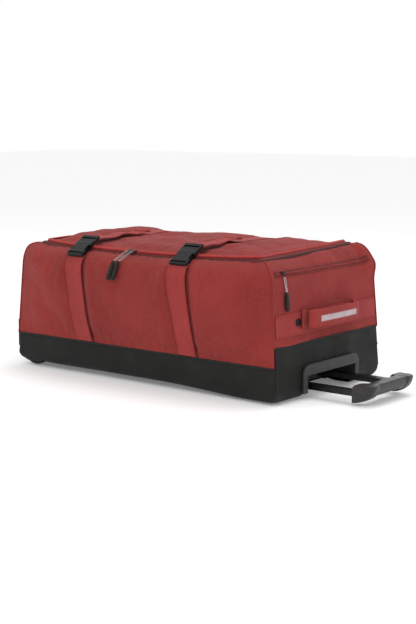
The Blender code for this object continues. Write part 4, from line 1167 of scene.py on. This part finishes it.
# ---- trolley grip
def grip_section(across):
    """Inner X, outer X, drop below the rods and fullness of the section at a share across."""
    swell = float(fade(across, 0.60, 0.13))
    groove = 0.0011 * math.exp(-((across - 0.655) / 0.008) ** 2)
    into_corner = max(0.0, across * GRIP_HALF_WIDTH - (GRIP_HALF_WIDTH - 0.0150))
    tip = 0.0150 - math.sqrt(0.0150 ** 2 - into_corner ** 2)
    inner = GRIP_OUTER_X - GRIP_DEPTH + 0.012 * (1 - swell) + groove
    outer = GRIP_OUTER_X - 0.004 * (1 - swell) - tip - groove
    return inner, outer, 0.0080 + 0.0107 * swell - groove, 3.4 - 1.3 * swell


def grip_outline(share, top):
    """Half of the D-shaped section: a flat top, a flat back and a front that curves in below."""
    inner, outer, drop, fullness = grip_section(abs(share))
    inner = min(inner, outer - 0.012)
    crown = 0.0200
    tall = crown + drop

    def front(height):
        q = min(1.0, max(0.0, (height + drop) / tall))
        return inner + (outer - inner) * (1 - (1 - q) ** fullness) ** (1 / fullness)

    if top > 0:
        ring = [(inner, 0.0), (inner, crown * 0.4), (inner + 0.0015, crown * 0.75)]
        ring += [(inner + 0.0050, crown * 0.93), (inner + 0.0110, crown)]
        rim = 0.0035
        for step in range(7):
            angle = math.radians(90 - 15 * step)
            ring.append((outer - rim + rim * math.cos(angle), crown - rim + rim * math.sin(angle)))
        heights = np.linspace(crown - rim - 0.002, 0, 9)
        return ring + [(min(front(height), outer), height) for height in heights]
    heights = -drop * np.sin(np.linspace(0, np.pi / 2, 16))
    ring = [(inner, 0.0), (inner, -drop * 0.5), (inner, -drop * 0.9), (inner + 0.0008, -drop)]
    return ring + [(max(front(height), inner + 0.0016), height) for height in heights[::-1]]


def grip_half(name, top):
    """One smooth moulded half of the grip, its parting line left as a fine groove."""
    ends = 1 - np.array([0, 0.0015, 0.005, 0.010, 0.018])
    stations = np.concatenate([-ends, np.linspace(-0.975, 0.975, 150), ends[::-1]])
    points = []
    for share in stations:
        for x, rise in grip_outline(share, top):
            points.append((x, share * GRIP_HALF_WIDTH, ROD_Z + rise + top * 0.00025))
    count = len(points) // len(stations)
    item = link_mesh(name, points, tube_faces(len(stations), count))
    face_outward(item, 0)
    rod_ends = [(-0.01, 0.0125, side * 0.072, 0.0103, 0.0063) for side in (-1, 1)]
    bar, trigger = (0.0120, 0.0290, 0, 0.077, 0.0045), (-0.01, 0.0290, 0, 0.0305, 0.0055)
    ear_x = GRIP_OUTER_X - GRIP_DEPTH
    for start, end, y, half_y, half_z in [*rod_ends, bar, trigger]:
        low = (ear_x + start, y - half_y, ROD_Z - half_z)
        cut(item, low, (ear_x + end, y + half_y, ROD_Z + half_z))
    item.data.shade_smooth()
    item.data.set_sharp_from_angle(angle=math.radians(35))
    nodes = [name.replace("_shell", "")]
    return put(item, "grip_plastic", "grey_plastic", "trolley_stage2", nodes)


# ---- hard parts kept from the CAD
def finish_hard_parts():
    """Gives each CAD piece that still shows the look of its slot."""
    rods = ("guide_tube", "stage1_tube", "stage2_rod")
    for name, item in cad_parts.items():
        if item.hide_render:
            continue
        slot = item.data.materials[0].name.split(".")[0]
        look = LOOKS["rod_metal" if name.startswith(rods) else slot]
        for material_slot in item.material_slots:
            material_slot.link = "OBJECT"
            material_slot.material = look


def wheel_details(label, side):
    """Tread ribs round the tyre's crown."""
    low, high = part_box("wheel_tyre_" + label)
    centre = [(low[axis] + high[axis]) / 2 for axis in range(3)]
    radius = (high[0] - low[0]) / 2
    turn = np.linspace(0, 2 * np.pi, 96, endpoint=False)
    up = stacked(np.cos(turn), 0, np.sin(turn))
    section = oval(0.0016, 0.0006, 8)
    for offset, name in ((-0.006, "inner"), (0.006, "outer")):
        ring = up * (radius - 0.0006) + centre + (0, side * offset, 0)
        item = sweep("tread_%s_%s" % (label, name), ring, up, section, cyclic=True)
        put(item, "tyre_rubber", "tyre_rubber", "wheel_" + label)


# ---- studio
def studio():
    azimuth, pitch = math.radians(38.70), math.radians(8.64)
    right = Vector((math.cos(azimuth), math.sin(azimuth), 0))
    back = Vector((math.sin(azimuth), -math.cos(azimuth), math.tan(pitch))) * math.cos(pitch)
    up = back.cross(right)
    target = Vector((-0.0805, 0, 0.162)) + right * 0.0344 - up * 0.0229
    data = bpy.data.cameras.new("camera")
    data.lens = 75
    data.sensor_width = 36
    camera = bpy.data.objects.new("camera", data)
    turned = Matrix((right, up, back)).transposed().to_4x4()
    camera.matrix_world = Matrix.Translation(target + back * 3.046) @ turned
    bpy.context.scene.collection.objects.link(camera)
    bpy.context.scene.camera = camera

    lights = [("key", (0.2, -2.3, 2.2), 1.2, 15), ("top", (0.1, 0.7, 2.8), 1.6, 24)]
    lights.append(("end", (2.3, -0.2, 1.3), 1.0, 5))
    for name, place, size, power in lights:
        lamp = bpy.data.lights.new(name, "AREA")
        lamp.size = size
        lamp.energy = power
        item = bpy.data.objects.new(name, lamp)
        item.location = place
        aim = Vector((-0.08, 0, 0.15)) - Vector(place)
        item.rotation_euler = aim.to_track_quat("-Z", "Y").to_euler()
        bpy.context.scene.collection.objects.link(item)
    world = bpy.data.worlds.new("studio")
    world.use_nodes = True
    tree = world.node_tree
    toward = add(tree, "ShaderNodeTexCoord").outputs["Generated"]
    toward = add(tree, "ShaderNodeSeparateXYZ", {0: toward}).outputs[2]
    brightness = remap(tree, toward, 0.60, 0.80, 1.0, 0.72)
    background = tree.nodes["Background"]
    background.inputs[0].default_value = (1, 1, 1, 1)
    tree.links.new(brightness, background.inputs[1])
    bpy.context.scene.world = world
    scene = bpy.context.scene
    scene.view_settings.view_transform = "Standard"
    scene.view_settings.look = "None"

    reach = 14.0
    x, y = mesh_space(3, 3, -reach, reach)
    floor = grid_piece("studio_floor", stacked(x * reach, y, 0), (0, 0, 1))
    look, tree, shader = new_look("studio_floor", 0.75)
    soft = mixed(tree, noise_of(tree, 3), (0.90, 0.90, 0.90, 1), (0.93, 0.93, 0.93, 1))
    tree.links.new(soft, shader.inputs["Base Color"])
    shader.inputs["Emission Color"].default_value = (1, 1, 1, 1)
    shader.inputs["Emission Strength"].default_value = 0.14
    floor.data.materials.append(look)


def build():
    side_face(-1, "front_face", "front_panel")
    side_face(1, "rear_face", "rear_panel")
    end_faces()
    base_shell()
    lining()
    corner_piping()
    main_zip()
    pocket_zip()
    hinge_strip()
    lid()
    for label, tail_y in (("left", 0.004), ("right", -0.038)):
        front_strap(label)
        rear_strap(label)
        upper_strap(label, tail_y)
    end_band()
    eyelet_core()
    grab_handle()
    for label in ("main_left", "main_right", "pocket"):
        pull_grip("pull_grip_" + label, "pull_" + label.replace("main_", ""))
    grip_half("grip_upper_shell", 1)
    grip_half("grip_lower_shell", -1)
    for label, side in (("near", -1), ("far", 1)):
        wheel_details(label, side)
    finish_hard_parts()
    studio()


build()
